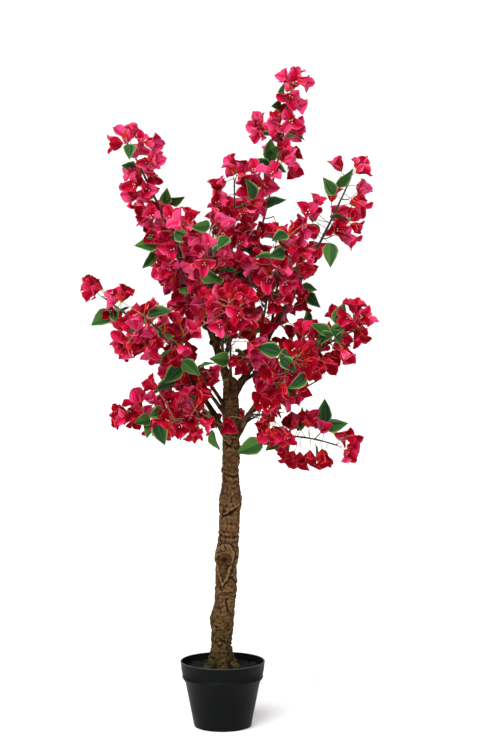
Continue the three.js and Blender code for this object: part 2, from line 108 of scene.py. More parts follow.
# Shoots: name, what carries it, where on that, root radius, bare share, azimuth, reach, height, rise, turn.
SHOOTS = (
    ("left_leader", "trunk", 616, 8.5, 0.4, 183, 166, 1054, 72, 0),
    ("right_leader", "trunk", 600, 8, 0.38, 5, 234, 1000, 57, 10),
    ("left", "trunk", 512, 7.2, 0.42, 178, 214, 782, 66, 320),
    ("right", "trunk", 510, 7.8, 0.45, 355, 238, 724, 66, 270),
    ("top", "left_leader", 0.1, 4.6, 0.26, 13, 127, 1144, 72, 220),
    ("low_right", "trunk", 500, 4, 0.3, 358, 206, 516, 34, 350),
    ("low_left", "left", 0.13, 4, 0.25, 192, 172, 568, 12, 240),
    ("centre", "left_leader", 0.24, 3.6, 0.25, 310, 34, 990, 66, 250),
    ("centre_left", "left_leader", 0.36, 3, 0.15, 248, 36, 940, 62, 80),
    ("inner_left", "left_leader", 0.3, 3.4, 0.2, 212, 104, 902, 46, 330),
    ("inner_right", "right_leader", 0.3, 3.4, 0.25, 328, 128, 880, 62, 40),
    ("front_high", "left_leader", 0.06, 4.2, 0.3, 262, 140, 890, 55, 50),
    ("back_high", "left_leader", 0.16, 4.2, 0.25, 88, 130, 960, 62, 120),
    ("back_left_high", "left_leader", 0.22, 3.8, 0.25, 128, 158, 880, 48, 190),
    ("back_right_high", "right_leader", 0.2, 3.8, 0.28, 52, 158, 870, 58, 260),
    ("front", "trunk", 590, 5, 0.36, 275, 182, 770, 55, 330),
    ("back", "trunk", 578, 5.4, 0.36, 96, 196, 788, 55, 40),
    ("front_left", "trunk", 566, 5, 0.38, 222, 176, 746, 56, 110),
    ("front_right", "right", 0.12, 4.4, 0.3, 314, 182, 676, 50, 180),
    ("back_left", "trunk", 556, 5, 0.38, 140, 194, 712, 50, 250),
    ("back_right", "right_leader", 0.08, 4.4, 0.3, 36, 196, 710, 22, 320),
    ("mid_right", "right", 0.26, 3.8, 0.2, 8, 176, 632, 18, 150),
    ("low_front_left", "trunk", 534, 4, 0.34, 238, 148, 566, 40, 100),
    ("low_front_right", "trunk", 540, 4, 0.34, 304, 150, 576, 38, 170),
    ("low_back_left", "trunk", 520, 4, 0.34, 118, 158, 590, 42, 240),
    ("low_back_right", "trunk", 528, 4, 0.34, 48, 162, 566, 38, 310),
)

ARC = 0.5
LIMB_TIP_SHARE = 0.46
STEM_LEAST_RADIUS = 2.4
CLUSTER = {"pitch": 38, "turn": 137.5, "lean": 62, "lean_spread": 26, "twig": 13, "twig_spread": 11}
FAN = {"flowers": 3, "tilt": 50, "tilt_spread": 24, "stalk": 14, "stalk_spread": 7, "tries": 5}
CUP_CENTRE = 9.0
CUP_CLEAR = 15.0
PETIOLE = 11.0
LEAF_LENGTH = 43.0
LEAF_LEAN = 74.0
LEAF_CLEAR = 8.0
LEAF_BALLS = (0.35, 0.8)
TIP = {"lean": 0.1, "twig": 8}
CLAIMS = {"trunk_from": 470, "trunk_step": 12, "limb_step": 9}

# Flowers and young leaves beyond the clusters of the solids. A pair is a range that a chance mixes.
FULLER = {"flowers": 3, "tries": 7, "clear": 9.5, "along": (0.45, 1.0), "lean": (12, 105), "sag": 0.35}
FULLER_STALK = (9, 22)
BETWEEN_FIRST = 0.85
BETWEEN_TRIES = 8
BETWEEN = {"gap": 17, "seed": 100, "last": 0.985, "lean": (45, 95), "sag": 0.3, "reach": (26, 50)}
BETWEEN_CLEAR = 10.0
YOUNG = {"gap": 45, "seed": 200, "last": 0.98, "lean": (55, 90), "sag": 0.8, "twig": (12, 30), "stalk": 8}
YOUNG_SIZE = 0.92
YOUNG_FRONT = 20.0
YOUNG_LIFT = 60.0

# Pieces set one by one stand before the stem that carries them, at the first depth with room round them.
CARRIER_FIRST = 0.6
FRONT_PULL = 0.3
SET_STALK = 16.0
SET_DEPTHS = (10, 20, 30, 42, 0, -12)
SET_ROOM = 9.0
SET_BOW = 7.0
SET_LEAF_DEPTH = 16.0
SET_LEAF_TURN = 0.8
SET_LEAF_DROOP = 0.3

# Places are numbered from here on, so that the kinds of pieces draw their own chances.
FIRST_PLACE = {"between": 40, "young": 60, "set_leaf": 90}

# A piece keeps out of an open place by this share of its spread.
OPEN_MARGIN = 0.6
FLOWER_SPREAD = 20.0

# Layout grid, seen from the front eye: columns run from the left and rows from the top, in squares.
SQUARE = 1.8165
GRID_MIDDLE = 222.5
GRID_FOOT = 726.6
EYE = np.array([50.0, -3200.0, 800.0])

# Places on the layout grid where the crown stays open: column, row, half width, half height.
OPEN_PLACES = (
    (204, 348, 10, 16), (172, 184, 12, 13), (200, 203, 11, 11), (284, 186, 9, 15), (290, 212, 11, 9),
    (277, 206, 8, 9), (297, 179, 11, 6), (245, 158, 4, 6), (276, 334, 4, 4), (310, 93, 6, 6),
    (310, 117, 6, 8), (306, 144, 9, 8), (270, 95, 5, 11), (211, 164, 7, 10), (306, 152, 9, 10),
    (327, 268, 11, 16), (320, 285, 9, 8), (331, 283, 7, 7), (346, 254, 12, 8), (376, 337, 9, 14),
    (340, 380, 12, 9), (322, 392, 14, 12), (336, 408, 9, 11), (272, 461, 16, 7), (347, 466, 12, 8),
    (125, 434, 24, 8), (101, 411, 9, 16), (183, 447, 22, 7), (207, 446, 9, 8), (140, 367, 20, 7),
    (147, 293, 16, 7), (91, 306, 8, 6), (114, 157, 8, 12), (149, 268, 9, 22), (97, 302, 7, 4),
    (109, 331, 8, 12), (157, 369, 5, 7), (139, 236, 6, 12), (262, 88, 10, 12), (255, 148, 5, 7),
    (215, 395, 4, 13), (247, 391, 6, 12), (237, 427, 4, 9), (253, 420, 5, 9), (280, 416, 6, 6),
    (253, 443, 9, 6), (297, 408, 4, 6), (234, 190, 6, 6), (264, 106, 7, 6), (165, 177, 6, 7),
    (141, 126, 4, 7), (252, 386, 4, 7), (113, 393, 9, 9), (207, 436, 5, 8), (270, 222, 3, 3),
    (263, 239, 4, 3), (235, 250, 2, 4), (326, 180, 8, 10), (161, 287, 5, 8), (310, 296, 6, 6),
    (148, 438, 6, 6), (178, 204, 8, 5), (234, 342, 5, 6), (345, 190, 6, 5), (325, 213, 4, 7),
    (327, 382, 9, 6), (214, 344, 4, 16), (228, 372, 5, 5), (231, 398, 7, 12), (231, 436, 7, 8),
    (251, 402, 3, 16), (220, 353, 5, 8), (198, 350, 5, 14), (196, 212, 8, 5), (303, 443, 7, 3),
    (329, 441, 7, 3), (335, 458, 4, 6), (148, 297, 14, 5), (291, 320, 4, 5), (305, 172, 6, 5),
    (138, 154, 5, 4), (323, 313, 5, 4), (312, 441, 7, 4), (293, 175, 4, 3), (144, 433, 4, 4),
    (154, 276, 4, 9), (211, 226, 3, 3), (195, 347, 2, 7), (161, 374, 3, 5), (303, 400, 4, 3),
)

# Flowers set one by one: column and row of the throat, direction in degrees from the right, share turned to
# the front, tint from the lightest, and size.
# Their tints are partly painted light: lighter high in the crown and darker low down.
SET_FLOWERS = (
    (124, 142, 184, 0.22, 1, 1.05), (132, 138, 82, 0.1, 1, 0.85), (137, 143, -60, 0.6, 1, 0.9),
    (141, 142, 80, 0.7, 1, 0.8), (145, 141, -10, 0.45, 0, 1.12), (151, 163, 20, 0.6, 0, 0.95),
    (150, 158, -140, 0.7, 1, 0.85), (154, 172, -85, 0.8, 2, 0.9), (147, 184, 150, 0.4, 1, 1.05),
    (139, 193, 195, 0.5, 1, 1.05), (150, 199, -60, 0.6, 2, 0.9), (294, 86, 90, 0.9, 0, 1.15),
    (287, 106, -90, 0.9, 3, 0.9), (294, 106, 0, 0.7, 1, 0.8), (264, 129, 172, 0.45, 0, 1.1),
    (261, 124, 110, 0.5, 0, 0.9), (263, 131, 210, 0.6, 0, 0.85), (280, 123, 120, 0.5, 1, 0.95),
    (282, 126, 190, 0.6, 1, 0.9), (282, 133, -135, 0.8, 1, 0.9), (288, 130, 2, 0.5, 1, 1.05),
    (282, 161, 75, 0.2, 2, 1.0), (283, 160, 6, 0.2, 1, 1.1), (236, 168, 132, 0.4, 1, 1.0),
    (254, 164, 190, 0.5, 1, 1.1), (264, 182, -40, 0.9, 1, 1.1), (341, 170, 118, 0.2, 1, 1.0),
    (355, 171, 22, 0.2, 1, 1.1), (349, 202, 18, 0.3, 2, 1.05), (312, 220, 80, 0.4, 1, 1.0),
    (152, 217, 90, 0.9, 1, 1.05), (152, 231, -90, 0.9, 3, 0.9), (186, 224, 150, 0.5, 0, 1.1),
    (188, 221, 74, 0.1, 3, 1.0), (168, 240, 150, 0.4, 2, 1.0), (103, 287, 150, 0.2, 2, 1.3),
    (100, 287, 190, 0.35, 1, 1.15), (119, 298, 185, 0.3, 1, 0.9), (122, 298, 60, 0.3, 2, 1.0),
    (111, 306, -90, 0.9, 3, 0.95), (139, 311, -110, 0.6, 0, 1.05), (145, 308, 35, 0.3, 2, 0.9),
    (165, 266, 200, 0.4, 2, 1.0), (308, 213, 100, 0.9, 1, 1.1), (314, 206, 60, 0.6, 1, 0.95),
    (307, 217, 205, 0.6, 2, 0.85), (350, 219, 46, 0.3, 3, 1.0), (355, 200, -40, 0.35, 2, 1.0),
    (345, 232, -48, 0.4, 1, 1.05), (260, 262, 178, 0.5, 0, 1.15), (299, 262, -40, 0.4, 2, 1.0),
    (301, 295, -90, 0.5, 3, 1.05), (353, 311, 80, 0.3, 2, 1.05), (357, 315, 6, 0.8, 2, 1.0),
    (355, 329, -60, 0.6, 3, 1.0), (344, 328, 50, 0.7, 3, 0.95), (353, 326, 10, 0.7, 3, 0.95),
    (350, 313, 200, 0.7, 2, 0.9), (336, 345, -30, 0.6, 3, 1.0), (342, 347, -58, 0.5, 2, 1.1),
    (133, 341, 195, 0.35, 1, 1.05), (127, 342, -95, 0.5, 2, 0.95), (126, 341, 215, 0.4, 2, 1.0),
    (150, 341, -80, 0.6, 1, 1.1), (172, 348, -80, 0.5, 3, 1.0), (178, 342, -50, 0.5, 1, 0.95),
    (157, 387, 140, 0.3, 2, 0.95), (141, 406, 128, 0.5, 2, 1.15), (165, 398, 0, 0.8, 3, 1.05),
    (133, 414, 185, 0.6, 2, 1.0), (129, 406, -60, 0.8, 3, 0.85), (181, 421, -90, 0.9, 3, 1.0),
    (192, 424, -70, 0.5, 3, 1.05), (220, 378, 180, 0.2, 3, 0.9), (199, 378, -70, 0.3, 3, 1.0),
    (228, 415, -90, 0.75, 3, 1.1), (262, 414, -60, 0.7, 3, 0.9), (308, 425, 98, 0.3, 3, 1.05),
    (298, 424, 150, 0.4, 3, 1.0), (346, 437, 50, 0.8, 3, 0.85), (349, 433, -38, 0.55, 2, 0.95),
    (322, 447, -78, 0.35, 3, 1.25), (287, 432, -75, 0.6, 3, 0.8), (300, 450, -90, 0.45, 3, 1.15),
    (285, 440, -105, 0.5, 3, 0.95), (299, 383, -60, 0.5, 3, 0.95), (325, 357, -50, 0.6, 3, 1.1),
    (266, 316, -90, 0.8, 3, 1.1), (243, 312, 180, 0.8, 2, 1.05), (250, 356, 0, 0.85, 1, 1.05),
    (303, 333, 90, 0.7, 1, 1.0), (283, 278, -60, 0.8, 0, 1.1), (205, 255, 120, 0.6, 1, 1.1),
    (311, 245, -90, 0.7, 2, 1.0), (310, 423, 90, 0.6, 2, 1.0), (140, 172, 175, 0.4, 1, 1.0),
    (139, 184, 175, 0.7, 1, 0.95), (252, 172, 60, 0.7, 1, 0.95), (141, 198, -100, 0.6, 2, 0.9),
    (301, 301, 90, 0.6, 3, 0.9), (200, 325, -120, 0.6, 1, 0.75), (234, 352, -90, 0.6, 3, 0.8),
    (310, 448, -90, 0.4, 3, 1.1), (125, 415, 205, 0.4, 2, 1.0), (127, 410, 165, 0.5, 2, 0.95),
    (134, 413, -80, 0.6, 3, 0.9), (333, 348, -80, 0.6, 3, 0.95), (304, 222, -60, 0.7, 1, 0.9),
    (350, 222, -30, 0.5, 2, 0.85), (298, 80, -16, 0.5, 0, 0.9), (295, 80, 84, 0.4, 0, 0.9),
    (289, 81, 148, 0.5, 0, 0.9), (290, 93, -92, 0.8, 1, 1.05), (288, 156, 30, 0.5, 2, 0.9),
    (240, 172, -60, 0.6, 1, 0.85), (219, 192, 100, 0.5, 2, 1.0), (221, 200, -80, 0.6, 1, 1.0),
    (153, 224, -90, 0.7, 2, 0.9), (127, 338, 160, 0.6, 1, 1.0), (190, 413, -90, 0.9, 3, 0.95),
    (238, 360, -60, 0.8, 3, 0.95), (302, 377, 60, 0.6, 3, 0.9), (186, 303, -60, 0.8, 1, 1.0),
    (246, 200, 105, 0.6, 1, 0.9), (289, 450, -100, 0.6, 3, 0.8),
)

# Leaves set one by one: column and row of the foot, then of the tip, and how far the blade is rolled in
# degrees.
SET_LEAVES = (
    (131, 143, 131, 158, 0), (137, 169, 126, 165, 0), (166, 202, 168, 186, 0), (168, 200, 187, 197, 62),
    (271, 161, 270, 137, 0), (270, 168, 253, 158, 10), (271, 165, 287, 171, 10), (283, 84, 282, 99, 60),
    (281, 106, 273, 107, 30), (254, 197, 248, 180, 30), (262, 206, 285, 196, 35),
    (335, 184, 354, 169, 62), (334, 193, 322, 175, 0), (157, 243, 138, 243, 0), (155, 249, 144, 268, 55),
    (175, 231, 192, 238, 20), (210, 223, 192, 226, 40), (228, 235, 217, 247, 10), (112, 309, 88, 325, 10),
    (114, 308, 119, 321, 30), (148, 313, 170, 307, 30), (200, 270, 222, 279, 40), (330, 241, 330, 263, 0),
    (287, 232, 272, 238, 10), (284, 250, 271, 254, 20), (246, 269, 236, 290, 0), (300, 286, 318, 287, 10),
    (308, 291, 320, 307, 35), (336, 322, 345, 298, 0), (330, 333, 309, 319, 30), (318, 338, 334, 330, 20),
    (182, 364, 163, 381, 0), (183, 359, 200, 372, 0), (178, 379, 150, 391, 50), (150, 417, 136, 419, 0),
    (156, 420, 166, 446, 0), (163, 408, 151, 413, 20), (211, 428, 218, 447, 58), (229, 357, 213, 356, 20),
    (216, 361, 199, 363, 70), (280, 350, 257, 344, 0), (281, 356, 298, 370, 0), (306, 372, 290, 386, 40),
    (296, 389, 279, 394, 10), (326, 421, 324, 397, 20), (326, 424, 349, 421, 20), (263, 440, 238, 450, 0),
    (280, 438, 264, 448, 0), (263, 322, 247, 327, 30), (340, 338, 331, 326, 20), (331, 331, 347, 321, 15),
)

# ----------------------------------------------------------------------------------------------------------
# User settings


def colour_property(name, description, default):
    """A colour setting, each channel from 0 to 1."""
    limits = {"min": 0, "max": 1}
    return FloatVectorProperty(name=name, description=description, subtype="COLOR", default=default, **limits)


def length_property(name, description, millimetres):
    """A length setting, given in millimetres and kept in metres."""
    return FloatProperty(name=name, description=description, default=millimetres * MM, unit="LENGTH", min=0)


class BlossomSettings(bpy.types.PropertyGroup):
    bract_length: length_property("Bract Length", "Length of one bract from throat to tip", 33)
    bract_width: length_property("Bract Width", "Widest part of a bract", 26)
    floret_length: length_property("Floret Length", "Length of a floret's tube", 11)
    # Pink to wine are dealt partly by chance and partly by height, as painted light high in the crown and
    # painted shade low and deep in it.
    pink: colour_property("Pink", "Brightest bracts, mostly high in the crown", (0.86, 0.067, 0.230))
    rose: colour_property("Rose", "Light crimson bracts", (0.72, 0.018, 0.095))
    crimson: colour_property("Crimson", "The commonest bract colour", (0.53, 0.004, 0.038))
    wine: colour_property("Wine", "Darkest bracts, mostly low and deep in the crown", (0.32, 0.001, 0.010))
    throat: colour_property("Throat", "Orange flush at the foot of a bract", (0.70, 0.030, 0.018))
    # Rim and dim rim paint the light that shines through a bract's thin edge, on light and on dark bracts.
    rim: colour_property("Rim", "Thin pale edge of a light bract", (0.84, 0.17, 0.23))
    dim_rim: colour_property("Dim Rim", "Thin edge of a dark bract", (0.70, 0.060, 0.090))
    floret: colour_property("Floret", "Cream stars in the middle of the flower", (0.95, 0.91, 0.78))


class LeafSettings(bpy.types.PropertyGroup):
    length: length_property("Leaf Length", "Length of a leaf blade", 44)
    width: length_property("Leaf Width", "Widest part of a leaf blade", 29)
    dark: colour_property("Dark Green", "Old leaves", (0.010, 0.047, 0.014))
    green: colour_property("Green", "Most leaves", (0.025, 0.092, 0.018))
    fresh: colour_property("Fresh Green", "Young leaves", (0.060, 0.168, 0.031))
    margin: colour_property("Margin", "Pale edge of the blade", (0.27, 0.38, 0.11))


class WoodSettings(bpy.types.PropertyGroup):
    relief: length_property("Bark Relief", "Depth of the cracks in the bark", 1.5)
    tan: colour_property("Tan Bark", "Most of the bark", (0.112, 0.060, 0.024))
    red: colour_property("Red Bark", "Patches of redder bark", (0.070, 0.028, 0.012))
    # Ridge paints a highlight on raised bark.
    ridge: colour_property("Ridge", "Painted highlight on raised bark", (0.200, 0.122, 0.060))
    # Crack is the colour of painted shade in the cracks, grooves and hollows of the bark.
    crack: colour_property("Crack", "Painted shade in the cracks and hollows of the bark", (0.0085, 0.0030, 0.0006))
    moss: colour_property("Moss", "Green tint near the foot", (0.026, 0.042, 0.008))
    stem: colour_property("Stem", "Wrapped wire stems", (0.028, 0.014, 0.009))
    stalk: colour_property("Stalk", "Thin stalks of flowers and leaves", (0.33, 0.22, 0.10))


class PotSettings(bpy.types.PropertyGroup):
    black: colour_property("Pot Black", "Plastic of the nursery pot", (0.0034, 0.0038, 0.0040))
    # Painted rim highlight: a lighter grey along the top of the rolled rim.
    painted_rim_highlight: colour_property("Painted Rim Highlight", "Painted highlight along the rim", (0.030, 0.030, 0.030))
    stone: colour_property("Gravel", "Dark gravel on the filling", (0.0040, 0.0038, 0.0035))
    stones: IntProperty(name="Stones", description="How many stones cover the filling", default=1500, min=0)


# ----------------------------------------------------------------------------------------------------------
# Growth: the rule of the solids


def chance(shoot, place, use):
    """A repeatable number from 0 to 1: the fraction of a large sine of three whole numbers."""
    s = math.sin(shoot * 12.9898 + place * 78.233 + use * 37.719) * 43758.5453
    return s - math.floor(s)


def mix(a, b, t):
    """A value that goes in a straight line from a at 0 to b at 1."""
    return a + (b - a) * t


def smooth(t):
    """A smooth step from 0 to 1: three squares less two cubes of the clipped value."""
    s = np.clip(t, 0.0, 1.0)
    return s * s * (3.0 - 2.0 * s)


def unit(v):
    """A vector divided by its own length."""
    return v / np.linalg.norm(v)


def across_axis(axis):
    """Two directions at right angles to an axis and to each other."""
    side = np.array([0.0, 0.0, 1.0]) if abs(axis[2]) < 0.9 else np.array([1.0, 0.0, 0.0])
    u = unit(np.cross(side, axis))
    return u, np.cross(axis, u)


def leaned(axis, lean, turn):
    """The axis leaned over by an angle, towards a turn about it."""
    u, w = across_axis(axis)
    return axis * math.cos(lean) + math.sin(lean) * (u * math.cos(turn) + w * math.sin(turn))


def trunk_share(height):
    """How far up the trunk a height is, from 0 at the foot to 1 at the top."""
    return (height - TRUNK_FOOT) / (TRUNK_TOP - TRUNK_FOOT)


def trunk_axis(height):
    """Centre line of the trunk: it leans to one side by a smooth step and sways by half a sine."""
    share = trunk_share(height)
    x = mix(TRUNK_LEAN_FROM, TRUNK_LEAN_TO, smooth(share / TRUNK_LEAN_ENDS))
    return np.stack([x, TRUNK_SWAY * np.sin(math.pi * share), height + 0.0 * x], axis=-1)


def trunk_radius(height, angle):
    """Taper, plus a bell for each swelling, plus a lobed flare that dies away upwards."""
    share = np.clip(trunk_share(height), 0.0, 1.0)
    radius = mix(TRUNK_FOOT_RADIUS, TRUNK_TOP_RADIUS, smooth(share**TRUNK_TAPER_LATE))
    for middle, spread, out in SWELLINGS:
        radius = radius + out * np.exp(-(((height - middle) / spread) ** 2))
    lobes = 1.0 + ROOT_DEPTH * np.cos(ROOTS * angle + ROOT_PHASE)
    return radius + FLARE * np.exp(-(height - TRUNK_FOOT) / FLARE_FADE) * lobes


class Shoot:
    """One shoot: its limb and stem lie on one quadratic curve from a to c with b as its handle."""

    def __init__(self, index, row, placed):
        self.index = index
        self.name, on, at, self.root, self.bare, azimuth, reach, height, rise, self.turn = row
        azimuth, rise = math.radians(azimuth), math.radians(rise)
        self.a = trunk_axis(float(at)) if on == "trunk" else placed[on].point(at)
        self.c = np.array([reach * math.cos(azimuth), reach * math.sin(azimuth), float(height)])
        chord = self.c - self.a
        heading = math.atan2(chord[1], chord[0])
        level = math.cos(rise)
        first = np.array([level * math.cos(heading), level * math.sin(heading), math.sin(rise)])
        self.b = self.a + first * ARC * np.linalg.norm(chord)
        self.tip_radius = max(STEM_LEAST_RADIUS, self.root * LIMB_TIP_SHARE)

    def point(self, share):
        """Points at shares of the quadratic curve."""
        t = np.asarray(share, float)[..., None]
        return (1 - t) ** 2 * self.a + 2 * t * (1 - t) * self.b + t**2 * self.c

    def axis(self, share):
        """Directions at shares of the curve, from its first derivative."""
        t = np.asarray(share, float)[..., None]
        d = (1 - t) * (self.b - self.a) + t * (self.c - self.b)
        return d / np.linalg.norm(d, axis=-1, keepdims=True)

    def length(self):
        """Length of the curve, as the sum of 200 short chords."""
        points = self.point(np.linspace(0, 1, 201))
        return float(np.linalg.norm(np.diff(points, axis=0), axis=1).sum())


def from_grid(column, row, depth):
    """A place on the layout grid, moved along the line of sight to a depth."""
    place = np.array([(column - GRID_MIDDLE) * SQUARE, depth, (GRID_FOOT - row) * SQUARE])
    stretch = (depth - EYE[1]) / -EYE[1]
    return np.array([mix(EYE[0], place[0], stretch), depth, mix(EYE[2], place[2], stretch)])


def to_grid(points):
    """Columns and rows of places in space."""
    points = np.asarray(points)
    stretch = (points[..., 1] - EYE[1]) / -EYE[1]
    x = EYE[0] + (points[..., 0] - EYE[0]) / stretch
    z = EYE[2] + (points[..., 2] - EYE[2]) / stretch
    return x / SQUARE + GRID_MIDDLE, GRID_FOOT - z / SQUARE


def left_open(point, spread):
    """Whether a piece that spreads so far from its centre would close an open place."""
    column, row = to_grid(point)
    more = OPEN_MARGIN * spread / SQUARE
    for middle, level, wide, high in OPEN_PLACES:
        if ((column - middle) / (wide + more)) ** 2 + ((row - level) / (high + more)) ** 2 < 1:
            return True
    return False


class Space:
    """Balls of space that pieces have claimed, each with its owner."""

    def __init__(self):
        self.centres, self.radii, self.owners = [], [], []

    def claim(self, centre, radius, owner):
        """Takes a ball of space for an owner."""
        self.centres.append(centre)
        self.radii.append(radius)
        self.owners.append(owner)

    def free(self, centre, radius, owner=None):
        """Whether a ball keeps out of the open places and of every ball that isn't its owner's."""
        if left_open(centre, LEAF_CLEAR if radius == LEAF_CLEAR else FLOWER_SPREAD):
            return False
        gaps = np.linalg.norm(np.array(self.centres) - centre, axis=1)
        near = gaps <= np.array(self.radii) + radius
        return not any(self.owners[i] != owner for i in np.flatnonzero(near))


def claim_limbs(space, shoots):
    """Balls along the trunk's upper part and along every shoot, from its limb to its tip."""
    for height in range(CLAIMS["trunk_from"], int(TRUNK_TOP) + 1, CLAIMS["trunk_step"]):
        space.claim(trunk_axis(float(height)), TRUNK_FOOT_RADIUS, "trunk")
    for shoot in shoots.values():
        count = max(2, round(float(np.linalg.norm(shoot.c - shoot.a)) / CLAIMS["limb_step"]))
        for i in range(count + 1):
            radius = shoot.root if i / count < shoot.bare else shoot.tip_radius
            space.claim(shoot.point(i / count), radius + 1, shoot.index)


def grow_flower(space, twig, k, dice, owner):
    """One flower of a twig's fan: its stalk tilts off the twig's axis, tried until its cup is free."""
    for attempt in range(FAN["tries"]):
        tilt = math.radians(FAN["tilt"] + FAN["tilt_spread"] * (dice(3 * attempt) - 0.5))
        turn = TAU * (k + 0.5 * dice(3 * attempt + 1)) / FAN["flowers"] + attempt * 0.9
        axis = leaned(twig["axis"], tilt, turn)
        throat = twig["end"] + axis * (FAN["stalk"] + FAN["stalk_spread"] * dice(3 * attempt + 2))
        centre = throat + axis * CUP_CENTRE
        if space.free(centre, CUP_CLEAR):
            space.claim(centre, CUP_CLEAR, owner)
            return {"root": twig["end"], "throat": throat, "axis": axis, "spin": turn * 2.3}
    return None


def grow_leaf(space, start, stem_axis, turn, dice, owner):
    """A leaf that leans off its stem, where two balls along its blade are free."""
    axis = leaned(stem_axis, math.radians(LEAF_LEAN), turn + 0.8 * (dice(4) - 0.5))
    base = start + axis * PETIOLE
    centres = [base + axis * share * LEAF_LENGTH for share in LEAF_BALLS]
    if not all(space.free(centre, LEAF_CLEAR, owner) for centre in centres):
        return None
    for centre in centres:
        space.claim(centre, LEAF_CLEAR, owner)
    return {"root": start, "base": base, "axis": axis, "spin": dice(5)}


def grow_cluster(space, shoot, place, share, is_tip):
    """A twig, the fan of flowers on its end, and a leaf on the stem's other side."""

    def dice(use):
        return chance(shoot.index, place, use)

    start, stem_axis = shoot.point(share), shoot.axis(share)
    turn = math.radians(CLUSTER["turn"] * place + shoot.turn) + 0.6 * dice(1)
    lean = TIP["lean"] if is_tip else math.radians(CLUSTER["lean"] + CLUSTER["lean_spread"] * (dice(2) - 0.5))
    axis = leaned(stem_axis, lean, turn)
    length = TIP["twig"] if is_tip else CLUSTER["twig"] + CLUSTER["twig_spread"] * dice(3)
    twig = {"start": start, "end": start + axis * length, "axis": axis, "stem": stem_axis}
    flowers = []
    for k in range(FAN["flowers"]):
        flower = grow_flower(space, twig, k, lambda use, k=k: dice(10 + 20 * k + use), shoot.index)
        if flower:
            flowers.append(flower)
    leaf = None if is_tip else grow_leaf(space, start, stem_axis, turn + math.pi, dice, shoot.index)
    return twig, flowers, leaf


def carrier(shoots, column, level):
    """The shoot and its point that carry a piece at a place on the grid: near it and rather in front."""
    best = None
    for shoot in shoots.values():
        share = np.linspace(shoot.bare * CARRIER_FIRST, 1.0, 60)
        points = shoot.point(share)
        columns, levels = to_grid(points)
        cost = np.hypot(columns - column, levels - level) * SQUARE + FRONT_PULL * points[:, 1]
        i = int(np.argmin(cost))
        if best is None or cost[i] < best[0]:
            best = (cost[i], shoot, points[i])
    return best[1], best[2]


def set_flower(space, shoots, place, row):
    """A listed flower, on a twig from the shoot that carries the foot of its stalk."""
    column, level, direction, front, tint, size = row
    flat = math.sqrt(1 - front**2)
    angle = math.radians(direction)
    axis = np.array([flat * math.cos(angle), -front, flat * math.sin(angle)])
    stalk = SET_STALK * axis / SQUARE
    shoot, start = carrier(shoots, column - stalk[0], level + stalk[2])
    for depth in SET_DEPTHS:
        throat = from_grid(column, level, start[1] - depth)
        centre = throat + axis * CUP_CENTRE
        room = np.linalg.norm(np.array(space.centres) - centre, axis=1) - np.array(space.radii)
        if room.min() > SET_ROOM:
            break
    space.claim(centre, CUP_CLEAR, shoot.index)
    return {
        "root": mix(start, throat, 0.5) - axis * SET_BOW,
        "throat": throat,
        "axis": axis,
        "size": size,
        "spin": TAU * chance(place, 1, 1),
        "shoot": shoot,
        "place": place,
        "stem": start,
        "tint": tint,
    }


def set_leaf(space, shoots, place, row):
    """A listed leaf: it heads to the front by what its seen length falls short, and is then rolled."""
    column, level, tip_column, tip_level, roll = row
    shoot, start = carrier(shoots, column, level)
    depth = start[1] - SET_LEAF_DEPTH
    base = from_grid(column, level, depth)
    reach = from_grid(tip_column, tip_level, depth) - base
    short = math.sqrt(max(LEAF_LENGTH**2 - np.linalg.norm(reach) ** 2, 0.0))
    reach = reach + np.array([0.0, -short * SET_LEAF_TURN, 0.0])
    axis = unit(reach)
    side = unit(np.cross(np.array([0.0, -1.0, 0.25]), axis))
    turn = math.radians(roll) * (1 if place % 2 else -1)
    side = unit(side * math.cos(turn) + np.cross(axis, side) * math.sin(turn))
    for share in LEAF_BALLS:
        space.claim(base + reach * share, LEAF_CLEAR, shoot.index)
    return {
        "root": start,
        "joint": mix(start, base, 0.5),
        "base": base,
        "axis": axis,
        "side": side,
        "size": np.linalg.norm(reach) / LEAF_LENGTH,
        "droop": SET_LEAF_DROOP,
        "shoot": shoot,
        "place": place + FIRST_PLACE["set_leaf"],
    }


def grow_tree():
    """All shoots, the listed pieces, and the clusters, each with its shoot, twig, flowers and leaf."""
    shoots = {}
    for index, row in enumerate(SHOOTS):
        shoots[row[0]] = Shoot(index, row, shoots)
    space = Space()
    claim_limbs(space, shoots)
    set_flowers = [set_flower(space, shoots, place, row) for place, row in enumerate(SET_FLOWERS)]
    set_leaves = [set_leaf(space, shoots, place, row) for place, row in enumerate(SET_LEAVES)]
    clusters = []
    for shoot in shoots.values():
        count = max(2, math.floor((1 - shoot.bare) * shoot.length() / CLUSTER["pitch"] + 0.5))
        for place in range(count, 0, -1):
            share = mix(shoot.bare, 1.0, place / count)
            twig, flowers, leaf = grow_cluster(space, shoot, place, share, place == count)
            clusters.append({"shoot": shoot, "place": place, "twig": twig, "flowers": flowers, "leaf": leaf})
    return shoots, set_flowers, set_leaves, clusters, space


SHOOT_LINES, PLACED_FLOWERS, PLACED_LEAVES, CLUSTERS, CLAIMED = grow_tree()


def sagged(axis, share):
    """The axis pulled down by a share of its length."""
    return unit(axis - np.array([0.0, 0.0, share]))


def first_free(trial, shoot, seed, place, uses, clear, owner=None):
    """The first piece that a trial with four chances makes in free space, in a list, or an empty list."""
    for use in uses:
        centre, piece = trial(*(chance(shoot.index + seed, place, use + n) for n in range(4)))
        if CLAIMED.free(centre, clear, owner):
            CLAIMED.claim(centre, clear, shoot.index)
            return [piece]
    return []


def places_between(rule):
    """A place for every gap along each stem: the shoot, its number there, the point and the stem's axis."""
    for shoot in SHOOT_LINES.values():
        first = shoot.bare * BETWEEN_FIRST
        count = int(shoot.length() * (1 - first) / rule["gap"])
        for place in range(1, count + 1):
            share = mix(first, rule["last"], (place - 0.5) / count)
            yield shoot, place, shoot.point(share), shoot.axis(share)


